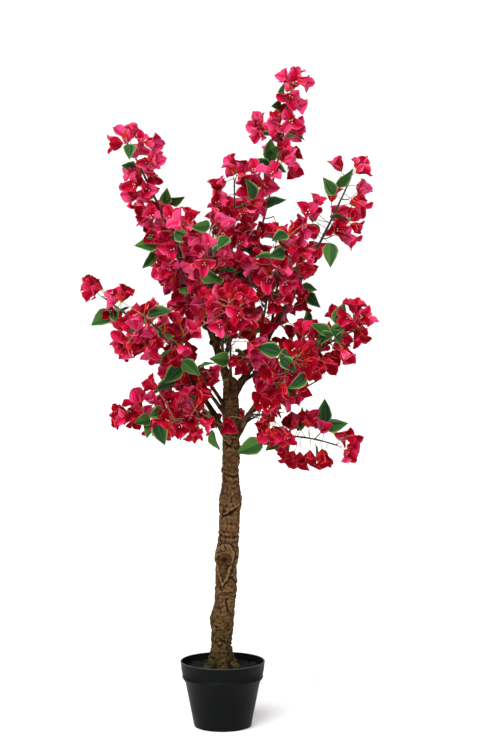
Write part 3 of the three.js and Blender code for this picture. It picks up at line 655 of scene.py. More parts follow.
def grow_fuller():
    """More flowers on each cluster's twig, on thin stalks that sag a little, wherever space is left."""
    made = []
    for cluster in CLUSTERS:
        shoot, place, twig = cluster["shoot"], cluster["place"], cluster["twig"]

        def trial(one, two, three, four):
            root = mix(twig["start"], twig["end"], mix(*FULLER["along"], four))
            lean = leaned(twig["axis"], math.radians(mix(*FULLER["lean"], one)), TAU * two)
            axis = sagged(lean, FULLER["sag"] * three)
            throat = root + axis * mix(*FULLER_STALK, three)
            flower = {"root": mix(root, throat, 0.5), "throat": throat, "axis": axis, "spin": TAU * four}
            return throat + axis * CUP_CENTRE, {**flower, "shoot": shoot, "place": place, "stem": root}

        for k in range(FULLER["flowers"]):
            uses = [400 + 40 * k + 5 * attempt for attempt in range(FULLER["tries"])]
            made += first_free(trial, shoot, 0, place, uses, FULLER["clear"])
    return made


def grow_between():
    """Thin sprays between the clusters: one flower at the end of a finer twig that leans off the stem."""
    made = []
    uses = [7 * attempt for attempt in range(BETWEEN_TRIES)]
    for shoot, place, start, stem_axis in places_between(BETWEEN):

        def trial(one, two, three, four):
            lean = leaned(stem_axis, math.radians(mix(*BETWEEN["lean"], one)), TAU * two)
            axis = sagged(lean, BETWEEN["sag"] * four)
            reach = mix(*BETWEEN["reach"], three)
            root = start + lean * reach * 0.5
            centre = root + axis * reach * 0.5
            flower = {"root": root, "throat": centre - axis * CUP_CENTRE, "axis": axis, "spin": TAU * four}
            return centre, {**flower, "shoot": shoot, "place": place + FIRST_PLACE["between"], "stem": start}

        made += first_free(trial, shoot, BETWEEN["seed"], place, uses, BETWEEN_CLEAR)
    return made


def grow_young_leaves():
    """Young leaves between the clusters at the back, which hang and show their faces outwards."""
    made = []
    uses = [7 * attempt for attempt in range(BETWEEN_TRIES)]
    for shoot, place, start, stem_axis in places_between(YOUNG):
        if start[1] < YOUNG_FRONT:
            continue

        def trial(one, two, three, four):
            lean = leaned(stem_axis, math.radians(mix(*YOUNG["lean"], one)), TAU * two)
            joint = start + lean * mix(*YOUNG["twig"], three)
            axis = sagged(lean, YOUNG["sag"] * four)
            base = joint + axis * YOUNG["stalk"]
            centre = joint + axis * (YOUNG["stalk"] + 0.5 * LEAF_LENGTH * YOUNG_SIZE)
            out = unit(centre * np.array([1.0, 1.0, 0.0]) + np.array([0.0, 0.0, YOUNG_LIFT]))
            side = unit(np.cross(out, axis))
            leaf = {"root": start, "joint": joint, "base": base, "axis": axis, "side": side}
            return centre, {**leaf, "size": YOUNG_SIZE, "shoot": shoot, "place": place + FIRST_PLACE["young"]}

        made += first_free(trial, shoot, YOUNG["seed"], place, uses, LEAF_CLEAR, shoot.index)
    return made


MORE_LEAVES = PLACED_LEAVES + grow_young_leaves()
MORE_FLOWERS = PLACED_FLOWERS + grow_fuller() + grow_between()


# ----------------------------------------------------------------------------------------------------------
# Meshes worked out as whole arrays


class MeshParts:
    """Collects vertices, faces, materials and one number a vertex, and joins them into one piece."""

    def __init__(self):
        self.points, self.quads, self.tris = [], [], []
        self.quad_slots, self.tri_slots = [], []
        self.uvs, self.marks, self.count = [], {}, 0

    def add(self, points, quads=(), tris=(), quad_slot=0, tri_slot=0, uv=None, **marks):
        """Adds vertices and faces, with a slot for each face, and a map place and marks for each vertex."""
        points = np.asarray(points, float).reshape(-1, 3)
        quads = np.asarray(quads, int).reshape(-1, 4)
        tris = np.asarray(tris, int).reshape(-1, 3)
        self.points.append(points)
        self.quads.append(quads + self.count)
        self.tris.append(tris + self.count)
        self.quad_slots.append(np.broadcast_to(quad_slot, len(quads)))
        self.tri_slots.append(np.broadcast_to(tri_slot, len(tris)))
        self.uvs.append(np.zeros((len(points), 2)) if uv is None else np.asarray(uv, float).reshape(-1, 2))
        for name, value in marks.items():
            self.marks.setdefault(name, []).append(np.broadcast_to(np.ravel(value), len(points)))
        self.count += len(points)

    def piece(self, name, materials, smooth_shading=True):
        """One object at the origin, its millimetres turned into metres."""
        points = np.concatenate(self.points) * MM
        quads, tris = np.concatenate(self.quads), np.concatenate(self.tris)
        corners = np.concatenate([quads.ravel(), tris.ravel()]).astype(np.int32)
        totals = np.concatenate([np.full(len(quads), 4), np.full(len(tris), 3)]).astype(np.int32)
        mesh = bpy.data.meshes.new(name)
        mesh.vertices.add(len(points))
        mesh.vertices.foreach_set("co", points.ravel())
        mesh.loops.add(len(corners))
        mesh.loops.foreach_set("vertex_index", corners)
        mesh.polygons.add(len(totals))
        starts = np.concatenate([[0], np.cumsum(totals)[:-1]]).astype(np.int32)
        mesh.polygons.foreach_set("loop_start", starts)
        mesh.polygons.foreach_set("loop_total", totals)
        slots = np.concatenate(self.quad_slots + self.tri_slots).astype(np.int32)
        mesh.polygons.foreach_set("material_index", slots)
        mesh.polygons.foreach_set("use_smooth", np.full(len(totals), smooth_shading))
        layer = mesh.uv_layers.new(name="UVMap")
        layer.data.foreach_set("uv", np.concatenate(self.uvs)[corners].ravel())
        for mark, values in self.marks.items():
            attribute = mesh.attributes.new(mark, "FLOAT", "POINT")
            attribute.data.foreach_set("value", np.concatenate(values).astype(np.float32))
        for material in materials:
            mesh.materials.append(material)
        mesh.update(calc_edges=True)
        mesh.validate()
        made = bpy.data.objects.new(name, mesh)
        bpy.context.scene.collection.objects.link(made)
        return made


def grid_quads(rows, columns, closed=False):
    """Faces of a grid of rows by columns vertices, joined round where it is closed."""
    r, c = np.meshgrid(np.arange(rows - 1), np.arange(columns if closed else columns - 1), indexing="ij")
    here, after = r * columns + c, r * columns + (c + 1) % columns
    return np.stack([here, after, after + columns, here + columns], -1).reshape(-1, 4)


def ring_fan(ring, centre, flip=False):
    """Triangles from a ring of vertices to a centre vertex."""
    nxt = np.roll(ring, -1)
    middle = np.full(len(ring), centre)
    return np.stack([nxt, ring, middle] if flip else [ring, nxt, middle], -1)


def end_fans(rows, sides):
    """Triangles that close both ends of a turned grid, round two vertices that follow the grid's own."""
    first = ring_fan(np.arange(sides), rows * sides, flip=True)
    last = ring_fan(np.arange(sides) + (rows - 1) * sides, rows * sides + 1)
    return np.concatenate([first, last])


def carried_frames(points):
    """Directions across a path, carried along it without twisting."""
    axes = np.gradient(points, axis=0)
    axes /= np.linalg.norm(axes, axis=1, keepdims=True)
    u = across_axis(axes[0])[0]
    us = []
    for axis in axes:
        u = unit(u - axis * u.dot(axis))
        us.append(u)
    us = np.array(us)
    return axes, us, np.cross(axes, us)


def add_tube(parts, points, radii, sides, slot=0, relief=None, **marks):
    """A closed tube: a circle of each radius is carried along the path, and a point closes each end."""
    points = np.asarray(points, float)
    radii = np.broadcast_to(radii, len(points)).astype(float)
    axes, u, w = carried_frames(points)
    angle = np.arange(sides) * TAU / sides
    reach = radii[:, None] * np.ones(sides) if relief is None else radii[:, None] + relief
    turned = np.cos(angle)[None, :, None] * u[:, None] + np.sin(angle)[None, :, None] * w[:, None]
    ring = points[:, None] + reach[..., None] * turned
    rows = len(points)
    start = points[0] - axes[0] * radii[0] * 0.4
    end = points[-1] + axes[-1] * radii[-1] * 0.6
    along = np.repeat(np.arange(rows) / (rows - 1), sides)
    round_ = np.tile(np.arange(sides) / sides, rows)
    uv = np.concatenate([np.stack([round_, along], -1), [[0.5, 0.0], [0.5, 1.0]]])
    for name, value in marks.items():
        marks[name] = np.append(np.ravel(np.broadcast_to(value, (rows, sides))), [0.5, 0.5])
    verts = np.concatenate([ring.reshape(-1, 3), [start, end]])
    parts.add(verts, grid_quads(rows, sides, closed=True), end_fans(rows, sides), slot, slot, uv, **marks)


def bent_path(start, end, bow, count):
    """Points from start to end that bow out by a parabola."""
    t = np.linspace(0, 1, count)[:, None]
    return start + (end - start) * t + bow * 4 * t * (1 - t)


def curved_path(start, handle, end, count):
    """Points of the quadratic curve from start to end that heads for the handle."""
    t = np.linspace(0, 1, count)[:, None]
    return (1 - t) ** 2 * start + 2 * t * (1 - t) * handle + t**2 * end


def lattice_noise(u, v, period, seed):
    """Smooth noise from 0 to 1: hashed values at whole numbers, mixed between, and joined round in u."""
    u0, v0 = np.floor(u), np.floor(v)
    fu, fv = smooth(u - u0), smooth(v - v0)

    def value(i, j):
        s = np.sin(np.mod(i, period) * 127.1 + j * 311.7 + seed * 74.7) * 43758.5453
        return s - np.floor(s)

    low = mix(value(u0, v0), value(u0 + 1, v0), fu)
    high = mix(value(u0, v0 + 1), value(u0 + 1, v0 + 1), fu)
    return mix(low, high, fv)


def fractal_noise(u, v, period, seed, octaves=4):
    """Octaves of lattice noise, each twice as fine and half as strong."""
    total, weight = 0.0, 0.0
    for o in range(octaves):
        total = total + lattice_noise(u * 2**o, v * 2**o, period * 2**o, seed + o) * 0.5**o
        weight += 0.5**o
    return total / weight


# ----------------------------------------------------------------------------------------------------------
# Materials


def linked(tree, source, sink):
    """Links an output socket to an input socket."""
    tree.links.new(source, sink)


def new_group(name, inputs, outputs):
    """An empty shader group with float, colour or vector sockets."""
    group = bpy.data.node_groups.new(name, "ShaderNodeTree")
    for label, kind, default in inputs:
        socket = group.interface.new_socket(label, in_out="INPUT", socket_type=kind)
        socket.default_value = default
    for label, kind in outputs:
        group.interface.new_socket(label, in_out="OUTPUT", socket_type=kind)
    return group, group.nodes.new("NodeGroupInput"), group.nodes.new("NodeGroupOutput")


def object_noise(group, scale, low, high):
    """Noise on object coordinates, and that noise from low to high stretched over a whole range."""
    place = group.nodes.new("ShaderNodeTexCoord")
    noise = group.nodes.new("ShaderNodeTexNoise")
    spread = group.nodes.new("ShaderNodeMapRange")
    spread.inputs["From Min"].default_value = low
    spread.inputs["From Max"].default_value = high
    linked(group, place.outputs["Object"], noise.inputs["Vector"])
    linked(group, scale, noise.inputs["Scale"])
    linked(group, noise.outputs["Fac"], spread.inputs["Value"])
    return noise, spread


def grain_group():
    """Fine grain on object coordinates: a height, and a roughness between two limits."""
    if "Surface Grain" in bpy.data.node_groups:
        return bpy.data.node_groups["Surface Grain"]
    group, enter, leave = new_group(
        "Surface Grain",
        [
            ("Scale", "NodeSocketFloat", 400.0),
            ("Detail", "NodeSocketFloat", 3.0),
            ("Smoothest", "NodeSocketFloat", 0.4),
            ("Roughest", "NodeSocketFloat", 0.7),
        ],
        [("Height", "NodeSocketFloat"), ("Roughness", "NodeSocketFloat")],
    )
    noise, spread = object_noise(group, enter.outputs["Scale"], 0.3, 0.7)
    linked(group, enter.outputs["Detail"], noise.inputs["Detail"])
    linked(group, enter.outputs["Smoothest"], spread.inputs["To Min"])
    linked(group, enter.outputs["Roughest"], spread.inputs["To Max"])
    linked(group, noise.outputs["Fac"], leave.inputs["Height"])
    linked(group, spread.outputs["Result"], leave.inputs["Roughness"])
    return group


def mottle_group():
    """Two colours mixed by soft patches on object coordinates."""
    if "Mottle" in bpy.data.node_groups:
        return bpy.data.node_groups["Mottle"]
    group, enter, leave = new_group(
        "Mottle",
        [
            ("Scale", "NodeSocketFloat", 60.0),
            ("Low Colour", "NodeSocketColor", (0.1, 0.1, 0.1, 1.0)),
            ("High Colour", "NodeSocketColor", (0.2, 0.2, 0.2, 1.0)),
        ],
        [("Colour", "NodeSocketColor")],
    )
    noise, spread = object_noise(group, enter.outputs["Scale"], 0.35, 0.65)
    noise.inputs["Detail"].default_value = 5.0
    blend = group.nodes.new("ShaderNodeMix")
    blend.data_type = "RGBA"
    linked(group, spread.outputs["Result"], blend.inputs["Factor"])
    linked(group, enter.outputs["Low Colour"], blend.inputs["A"])
    linked(group, enter.outputs["High Colour"], blend.inputs["B"])
    linked(group, blend.outputs["Result"], leave.inputs["Colour"])
    return group


def vein_group():
    """Ridges that slant from the rib to the edge: a sine of the way along minus a share of the way across."""
    if "Veins" in bpy.data.node_groups:
        return bpy.data.node_groups["Veins"]
    group, enter, leave = new_group(
        "Veins",
        [("Count", "NodeSocketFloat", 9.0), ("Slant", "NodeSocketFloat", 0.5)],
        [("Height", "NodeSocketFloat")],
    )
    uv = group.nodes.new("ShaderNodeUVMap")
    split = group.nodes.new("ShaderNodeSeparateXYZ")
    linked(group, uv.outputs["UV"], split.inputs["Vector"])

    def math_node(operation, first, second=None, third=None):
        node = group.nodes.new("ShaderNodeMath")
        node.operation = operation
        for socket, value in zip(node.inputs, (first, second, third)):
            if value is None:
                continue
            if isinstance(value, (int, float)):
                socket.default_value = value
            else:
                linked(group, value, socket)
        return node.outputs["Value"]

    across = math_node("ABSOLUTE", math_node("MULTIPLY_ADD", split.outputs["X"], 2.0, -1.0))
    line = math_node("SUBTRACT", split.outputs["Y"], math_node("MULTIPLY", across, enter.outputs["Slant"]))
    wave = math_node("SINE", math_node("MULTIPLY", math_node("MULTIPLY", line, enter.outputs["Count"]), TAU))
    ridge = math_node("POWER", math_node("MULTIPLY_ADD", wave, 0.5, 0.5), 4.0)
    rib = math_node("SUBTRACT", 1.0, math_node("MULTIPLY", across, 9.0))
    linked(group, math_node("MAXIMUM", ridge, rib), leave.inputs["Height"])
    return group


def placed_group(tree, group, **values):
    """A node that holds a group, with plain values on its named inputs."""
    node = tree.nodes.new("ShaderNodeGroup")
    node.node_tree = group
    for name, value in values.items():
        node.inputs[name.replace("_", " ")].default_value = value
    return node


def new_material(name, **settings):
    """A material with only a Principled BSDF, whose plain values are set on its own sockets."""
    material = bpy.data.materials.new(name)
    material.use_nodes = True
    shader = material.node_tree.nodes["Principled BSDF"]
    for key, value in settings.items():
        shader.inputs[key.replace("_", " ")].default_value = value
    return material, material.node_tree, shader


def bump(tree, shader, height, strength, distance):
    """Bumps a shader's surface by a height socket."""
    node = tree.nodes.new("ShaderNodeBump")
    node.inputs["Strength"].default_value = strength
    node.inputs["Distance"].default_value = distance
    linked(tree, height, node.inputs["Height"])
    linked(tree, node.outputs["Normal"], shader.inputs["Normal"])


def grained(name, colour, grain, depth, **settings):
    """A plain colour with grained height and roughness."""
    material, tree, shader = new_material(name, Base_Color=(*colour, 1.0), **settings)
    node = placed_group(tree, grain_group(), **grain)
    linked(tree, node.outputs["Roughness"], shader.inputs["Roughness"])
    bump(tree, shader, node.outputs["Height"], 0.6, depth * MM)
    return material


def veined(name, colour, count, slant, depth, smoothest, roughest, **settings):
    """A cloth petal or leaf: one plain colour, pressed veins and a faint weave in its gloss."""
    material, tree, shader = new_material(name, Base_Color=(*colour, 1.0), **settings)
    grain = placed_group(tree, grain_group(), Scale=900.0, Detail=2.0, Smoothest=smoothest, Roughest=roughest)
    veins = placed_group(tree, vein_group(), Count=count, Slant=slant)
    total = tree.nodes.new("ShaderNodeMath")
    total.operation = "MULTIPLY_ADD"
    total.inputs[1].default_value = 0.35
    linked(tree, grain.outputs["Height"], total.inputs[0])
    linked(tree, veins.outputs["Height"], total.inputs[2])
    linked(tree, grain.outputs["Roughness"], shader.inputs["Roughness"])
    bump(tree, shader, total.outputs["Value"], 0.7, depth * MM)
    return material


def bark_material(name, wood, tan, red, scale):
    """Brown mottled bark, with a painted highlight on ridges, green with moss and painted shade in recesses,
    where the mesh marks them.
    """
    material, tree, shader = new_material(name, Specular_IOR_Level=0.05)
    mottle = placed_group(
        tree,
        mottle_group(),
        Scale=scale,
        Low_Colour=(*red, 1.0),
        High_Colour=(*[1.15 * c for c in tan], 1.0),
    )
    grain = placed_group(tree, grain_group(), Scale=620.0, Detail=6.0, Smoothest=0.62, Roughest=0.95)
    colour = mottle.outputs["Colour"]
    # The ridge mark paints a highlight, the moss mark is the moss's own green, and the recess mark paints
    # shade.
    for mark, tint in (("ridge", wood.ridge), ("moss", wood.moss), ("recess", wood.crack)):
        share = tree.nodes.new("ShaderNodeAttribute")
        share.attribute_name = mark
        blend = tree.nodes.new("ShaderNodeMix")
        blend.data_type = "RGBA"
        blend.inputs["B"].default_value = (*tint, 1.0)
        linked(tree, colour, blend.inputs["A"])
        linked(tree, share.outputs["Fac"], blend.inputs["Factor"])
        colour = blend.outputs["Result"]
    linked(tree, colour, shader.inputs["Base Color"])
    linked(tree, grain.outputs["Roughness"], shader.inputs["Roughness"])
    bump(tree, shader, grain.outputs["Height"], 0.8, 0.7 * MM)
    return material


# ----------------------------------------------------------------------------------------------------------
# Pot and gravel


def arc(centre, radius, start, end, count):
    """Points of a circle's arc between two angles in degrees."""
    angle = np.radians(np.linspace(start, end, count))
    return np.stack([centre[0] + radius * np.cos(angle), centre[1] + radius * np.sin(angle)], -1)


def add_turned(parts, profile, sides, painted_rim_highlight):
    """A profile of radius and height turned about the upright axis, its listed steps in the painted rim
    highlight slot.
    """
    profile = np.asarray(profile, float)
    angle = np.arange(sides) * TAU / sides
    inner = profile[1:-1]
    ring = np.stack(
        [
            inner[:, :1] * np.cos(angle),
            inner[:, :1] * np.sin(angle),
            np.repeat(inner[:, 1:], sides, axis=1),
        ],
        -1,
    )
    rows = len(inner)
    ends = [[0.0, 0.0, profile[0][1]], [0.0, 0.0, profile[-1][1]]]
    verts = np.concatenate([ring.reshape(-1, 3), ends])
    slots = np.repeat(np.isin(np.arange(rows - 1), painted_rim_highlight).astype(int), sides)
    parts.add(verts, grid_quads(rows, sides, closed=True), end_fans(rows, sides), slots)


def pot_profile():
    """Foot, body, collar, rolled rim, and back down the inside, with every edge rounded by an arc."""
    collar_foot = POT_HEIGHT - POT_COLLAR_HEIGHT
    waist = collar_foot - POT_COLLAR_SLOPE
    return np.concatenate(
        [
            [[0.0, 0.0], [POT_FOOT_RADIUS - 6.0, 0.0]],
            arc((POT_FOOT_RADIUS - 2.2, 2.2), 2.2, -90, -8, 6),
            [[mix(POT_FOOT_RADIUS, POT_WAIST_RADIUS, 0.5), waist * 0.5]],
            [[POT_WAIST_RADIUS - 0.1, waist - 1.0], [POT_WAIST_RADIUS + 0.7, waist]],
            [[POT_WAIST_RADIUS + 1.0, waist + 1.2]],
            arc((POT_COLLAR_RADIUS - 2.0, collar_foot + 0.7), 2.0, -35, 60, 6),
            [[mix(POT_COLLAR_RADIUS, POT_RIM_RADIUS, 0.5), collar_foot + POT_COLLAR_HEIGHT * 0.5]],
            [[POT_RIM_RADIUS - 0.5, POT_HEIGHT - 3.4], [POT_RIM_RADIUS, POT_HEIGHT - 2.6]],
            arc((POT_RIM_RADIUS - 1.2, POT_HEIGHT - 1.3), 1.25, 0, 180, 9),
            [[POT_COLLAR_RADIUS - POT_WALL, collar_foot + POT_WALL]],
            [[POT_WAIST_RADIUS - POT_WALL, waist]],
            [[POT_FOOT_RADIUS - POT_WALL, POT_FLOOR], [0.0, POT_FLOOR]],
        ]
    )


def turn_matrix(spin):
    """The turn that four numbers of unit length stand for as a quaternion."""
    a, b, c, d = spin
    return np.array(
        [
            [a * a + b * b - c * c - d * d, 2 * (b * c - a * d), 2 * (b * d + a * c)],
            [2 * (b * c + a * d), a * a - b * b + c * c - d * d, 2 * (c * d - a * b)],
            [2 * (b * d - a * c), 2 * (c * d + a * b), a * a - b * b - c * c + d * d],
        ]
    )


def stone_ball(rows, columns):
    """A ball of unit radius with its quads and the triangles round its poles."""
    polar = np.linspace(0, math.pi, rows + 2)[1:-1]
    turn = np.arange(columns) * TAU / columns
    ball = np.stack(
        [
            np.outer(np.sin(polar), np.cos(turn)),
            np.outer(np.sin(polar), np.sin(turn)),
            np.outer(np.cos(polar), np.ones(columns)),
        ],
        -1,
    ).reshape(-1, 3)
    ball = np.concatenate([ball, [[0, 0, 1], [0, 0, -1]]])
    last = rows * columns
    quads = grid_quads(rows, columns, closed=True)[:, ::-1]
    top = ring_fan(np.arange(columns), last)
    foot = ring_fan(np.arange(columns) + last - columns, last + 1, flip=True)
    return ball, quads, np.concatenate([top, foot])


def add_stones(parts, count):
    """Stones: balls squashed and dented by their own noise, laid on the filling and sunk a little."""
    rng = np.random.default_rng(STONE_SEED)
    ball, quads, tris = stone_ball(5, 8)
    reach = POT_COLLAR_RADIUS - POT_WALL - 1.5
    made = 0
    while made < count:
        radius = reach * math.sqrt(rng.random())
        angle = TAU * rng.random()
        size = STONE_LEAST + STONE_SPREAD * rng.random() ** 2
        low = rng.random() ** 1.5
        squash = rng.uniform(0.55, 1.0, 3)
        dents = rng.uniform(0.82, 1.12, (len(ball), 1))
        if radius + size > reach:
            continue
        height = FILL_TOP + FILL_MOUND * (1 - radius / reach) + size * 0.25 + STONE_PILE * low
        turned = turn_matrix(unit(rng.normal(size=4)))
        place = np.array([radius * math.cos(angle), radius * math.sin(angle), height])
        kind = made % len(STONE_SHADES)
        parts.add((ball * dents * squash * size) @ turned.T + place, quads, tris, kind, kind)
        made += 1


# ----------------------------------------------------------------------------------------------------------
# Bark


def wrapped(angle, at):
    """Angle from a place given in degrees, from minus half a turn to half a turn."""
    return np.angle(np.exp(1j * (angle - math.radians(at))))


def bell(value, spread):
    """A bell curve: e to the power of minus the square of the value over its spread."""
    return np.exp(-((value / spread) ** 2))


def bark_noise(angle, height, across, tall, seed, octaves):
    """Noise round the trunk, with so many lumps across it and each so tall."""
    return fractal_noise(np.mod(angle, TAU) / TAU * across, height / tall, across, seed, octaves)


def teardrop(angle, height, at, middle, half_wide, half_high, girth):
    """Distance in millimetres outside an outline that is round at the top and pointed at the foot."""
    up = (height - middle) / half_high
    inside = np.clip(up, -0.999, 0.999)
    width = half_wide * (1 + inside) ** 0.9 * (1 - inside) ** 0.45 / 1.08
    beyond = np.maximum(np.abs(up) - 1, 0) * half_high
    return np.abs(wrapped(angle, at)) * girth - width + 2.0 * beyond


def plate(angle, height, girth, at, middle, half_wide, half_high, rise, eye):
    """A raised plate of bark with a groove round it, and where it has an eye, a sunken dark one; painted
    shade darkens the groove and the eye.
    """
    wobble = 4.0 * (bark_noise(angle, height, 14, 8, 59, 2) - 0.5)
    d = teardrop(angle, height, at, middle, half_wide, half_high, girth) + wobble
    relief = rise * smooth((0.5 - d) / 3.0) - 1.9 * bell(d - 1.2, 1.25)
    recess = 0.95 * bell(d - 1.0, 1.3)
    if eye:
        eye_middle, eye_wide, eye_high = middle - 0.1 * half_high, half_wide * 0.62, half_high * 0.66
        e = teardrop(angle, height, at, eye_middle, eye_wide, eye_high, girth) + wobble
        relief = relief - 1.5 * smooth((0.8 - e) / 2.5) + 0.8 * bell(e - 2.5, 1.5)
        up = (height - middle - 0.26 * half_high) / (0.24 * half_high)
        hole = bell(up, 1.0) * bell(wrapped(angle, at) * girth, 0.4 * half_wide)
        relief = relief - 1.6 * hole
        recess = np.maximum(recess, np.maximum(0.95 * hole, 0.45 * smooth((0.6 - e) / 2.5)))
        recess = np.maximum(recess, 0.8 * bell(e - 0.6, 1.1) * smooth((height - middle + 6) / 10))
    return relief, recess


def ring_crease(angle, height, at, wobble):
    """Two ridges round the trunk with a broken groove between them, darkened by painted shade."""
    line = height - at - wobble * np.sin(2 * angle + 0.6)
    broken = 0.2 + 0.8 * smooth(2.4 * bark_noise(angle, height, 9, 7, 61, 2) - 0.7)
    relief = 0.9 * bell(np.abs(line) - 4.8, 2.8) - 1.5 * broken * bell(line, 1.7)
    groove = np.maximum(bell(line, 1.6), 0.7 * bell(np.abs(line) - 8.6, 1.4))
    return relief, 0.9 * broken * groove


def slash(angle, height, girth, at, middle, slope, half_wide):
    """A slanting crack under a flap: the bark above stands out and its foot is dark with painted shadow."""
    across = wrapped(angle, at) * girth
    line = height - middle - slope * across + 5.0 * (bark_noise(angle, height, 12, 9, 83, 2) - 0.5)
    near = smooth(1.6 - np.abs(across) / half_wide)
    flap = smooth((line + 0.4) / 1.6) * np.exp(-np.maximum(line, 0) / 16)
    wide = 1.8 + 2.2 * bell(across, 0.45 * half_wide)
    relief = near * (1.7 * flap - 2.6 * bell(line + wide, wide))
    return relief, 0.97 * near * bell(line + wide, wide)


# Plates of bark: side in degrees, height, half width, half height, rise, and whether they have an eye.
PLATES = (
    (-105, 297, 18.5, 40, 1.6, True),
    (-48, 224, 9.0, 15, 1.2, False),
    (75, 300, 15.0, 34, 1.4, True),
    (165, 240, 8.5, 16, 1.1, False),
    (15, 175, 8.0, 15, 1.0, False),
    (128, 436, 12.0, 26, 1.2, True),
    (20, 505, 10.0, 20, 1.0, False),
)
# Creases round the trunk: height, and how far they wander up and down.
CREASES = ((350, 1.6), (461, 2.4), (536, 1.8))
# Slanting cracks: side in degrees, height, slope and half width.
SLASHES = (
    (-78, 398, 0.66, 17), (95, 378, -0.55, 14), (175, 300, 0.7, 12),
    (-120, 520, -0.5, 10), (-20, 268, -0.6, 9),
)
# Broad bulges and dips of one side: side in degrees, height, half height, and how far the surface moves out.
BULGES = (
    (180, 236, 24, -3.2), (0, 254, 26, 2.8), (180, 300, 22, 1.9), (0, 393, 22, -1.5), (180, 420, 18, 1.5),
    (0, 466, 14, -1.2), (0, 181, 14, -1.3), (0, 146, 24, -2.4),
)
# Knobs: side in degrees, height, spread, and how far they stand out.
KNOBS = ((183, 197, 9, 3.0), (186, 470, 7, 2.4), (-10, 418, 10, 1.8), (60, 330, 10, 2.0), (-110, 233, 4, 1.5))


def blurred(values, reach):
    """The mean over nearby rings and, round the trunk, nearby sides."""
    rows = np.clip(np.arange(len(values))[:, None] + np.arange(-reach, reach + 1), 0, len(values) - 1)
    values = values[rows].mean(axis=1)
    return np.mean([np.roll(values, k, axis=1) for k in range(-reach, reach + 1)], axis=0)


def trunk_relief(angle, height, depth):
    """Lumps, pebbles and branching cracks from noise, then the trunk's plates, creases, slashes and knobs,
    with a recess mark of painted shade and a ridge mark of painted highlight.
    """
    round_ = np.mod(angle, TAU) / TAU
    girth = TRUNK_GIRTH
    low = np.exp(-np.maximum(height - 150, 0) / 90)
    lumps = TRUNK_LUMPS * (bark_noise(angle, height, 4, 34, 3, 4) - 0.5)
    warp = TRUNK_WARP * (bark_noise(angle, height, 9, 12, 37, 2) - 0.5)
    pebbles = fractal_noise(round_ * 22 + warp, height / 4.6 + warp, 22, 67, 2)
    scales = np.abs(2 * fractal_noise(round_ * 11 + warp, height / 8 - warp, 11, 41, 2) - 1)
    bands = bark_noise(angle, height, 5, 2.6, 53, 2)
    vein = np.abs(2 * bark_noise(angle, height, 6, 26, 17, 3) - 1)
    patchy = smooth((bark_noise(angle, height, 5, 40, 29, 2) - 0.42) / 0.16)
    cracks = smooth(1 - vein / 0.07) * patchy
    gaps = smooth(1 - scales / 0.22) * (0.45 + 0.55 * low)
    pits = smooth((0.5 - pebbles) / 0.15) * (0.6 - 0.2 * low)
    relief = lumps + TRUNK_PEBBLES * (pebbles - 0.5) * (1 + 0.5 * low) + TRUNK_BANDS * (bands - 0.5)
    relief = relief - depth * (cracks + 0.9 * gaps + 0.3 * pits)
    # Painted shade darkens the cracks; the plates, creases, slashes, knobs and roots add their own.
    recess = 0.85 * cracks
    for row in PLATES:
        rise, dark = plate(angle, height, girth, *row)
        relief, recess = relief + rise, np.maximum(recess, dark)
    for at, wobble in CREASES:
        rise, dark = ring_crease(angle, height, at, wobble)
        relief, recess = relief + rise, np.maximum(recess, dark)
    for at, middle, slope, half_wide in SLASHES:
        rise, dark = slash(angle, height, girth, at, middle, slope, half_wide)
        relief, recess = relief + rise, np.maximum(recess, dark)
    for at, middle, spread, out in KNOBS:
        across = wrapped(angle, at) * girth
        relief = relief + out * np.exp(-(across**2 + (height - middle) ** 2) / spread**2)
        # Painted shade in a ring round the knob.
        rim = np.sqrt(across**2 + (height - middle) ** 2) - spread
        recess = np.maximum(recess, 0.7 * bell(rim, 1.3))
    broad_side = 0.0
    for at, middle, spread, out in BULGES:
        aside = (wrapped(angle, at) / 0.9) ** 2
        broad_side = broad_side + out * np.exp(-aside - ((height - middle) / spread) ** 2)
    roots = ROOT_RELIEF * np.cos(ROOTS * angle + ROOT_PHASE) * np.exp(-(height - TRUNK_FOOT) / 17)
    # Painted shade between the roots.
    recess = np.maximum(recess, 0.85 * smooth((-roots - 1.0) / 2.4))
    # Painted shade in hollows that lie below the blurred surface round them; the bark is also darker towards
    # the foot.
    proud = relief - blurred(relief, 6)
    hollow = smooth((-proud - 0.1) / 1.2)
    broad = smooth(-(relief - blurred(relief, 22)) / 3.0)
    recess = np.maximum(recess, np.maximum(0.95 * hollow, 0.6 * broad)) + 0.26 * low
    # Painted highlight: bark that stands above its blurred surroundings is lightened, less towards the foot.
    ridge = smooth((proud - 0.15) / 1.1) * (1 - 0.35 * low)
    return relief + roots + broad_side, np.clip(recess, 0, 0.96), np.clip(ridge, 0, 0.9)


def moss_share(angle, height):
    """Moss fades upwards from the foot, in patches."""
    patch = bark_noise(angle, height, 11, 9, 91, 4)
    low = np.exp(-np.maximum(height - TRUNK_FOOT, 0) / 60.0)
    patches = smooth((patch - 0.55 + 0.36 * low) / 0.40) * (0.3 + 0.7 * low)
    patches = patches * (0.72 + 0.28 * np.cos(angle + 0.9))
    return np.clip((0.75 * patches + 0.42 * low) * smooth((350 - height) / 130), 0, 0.88)


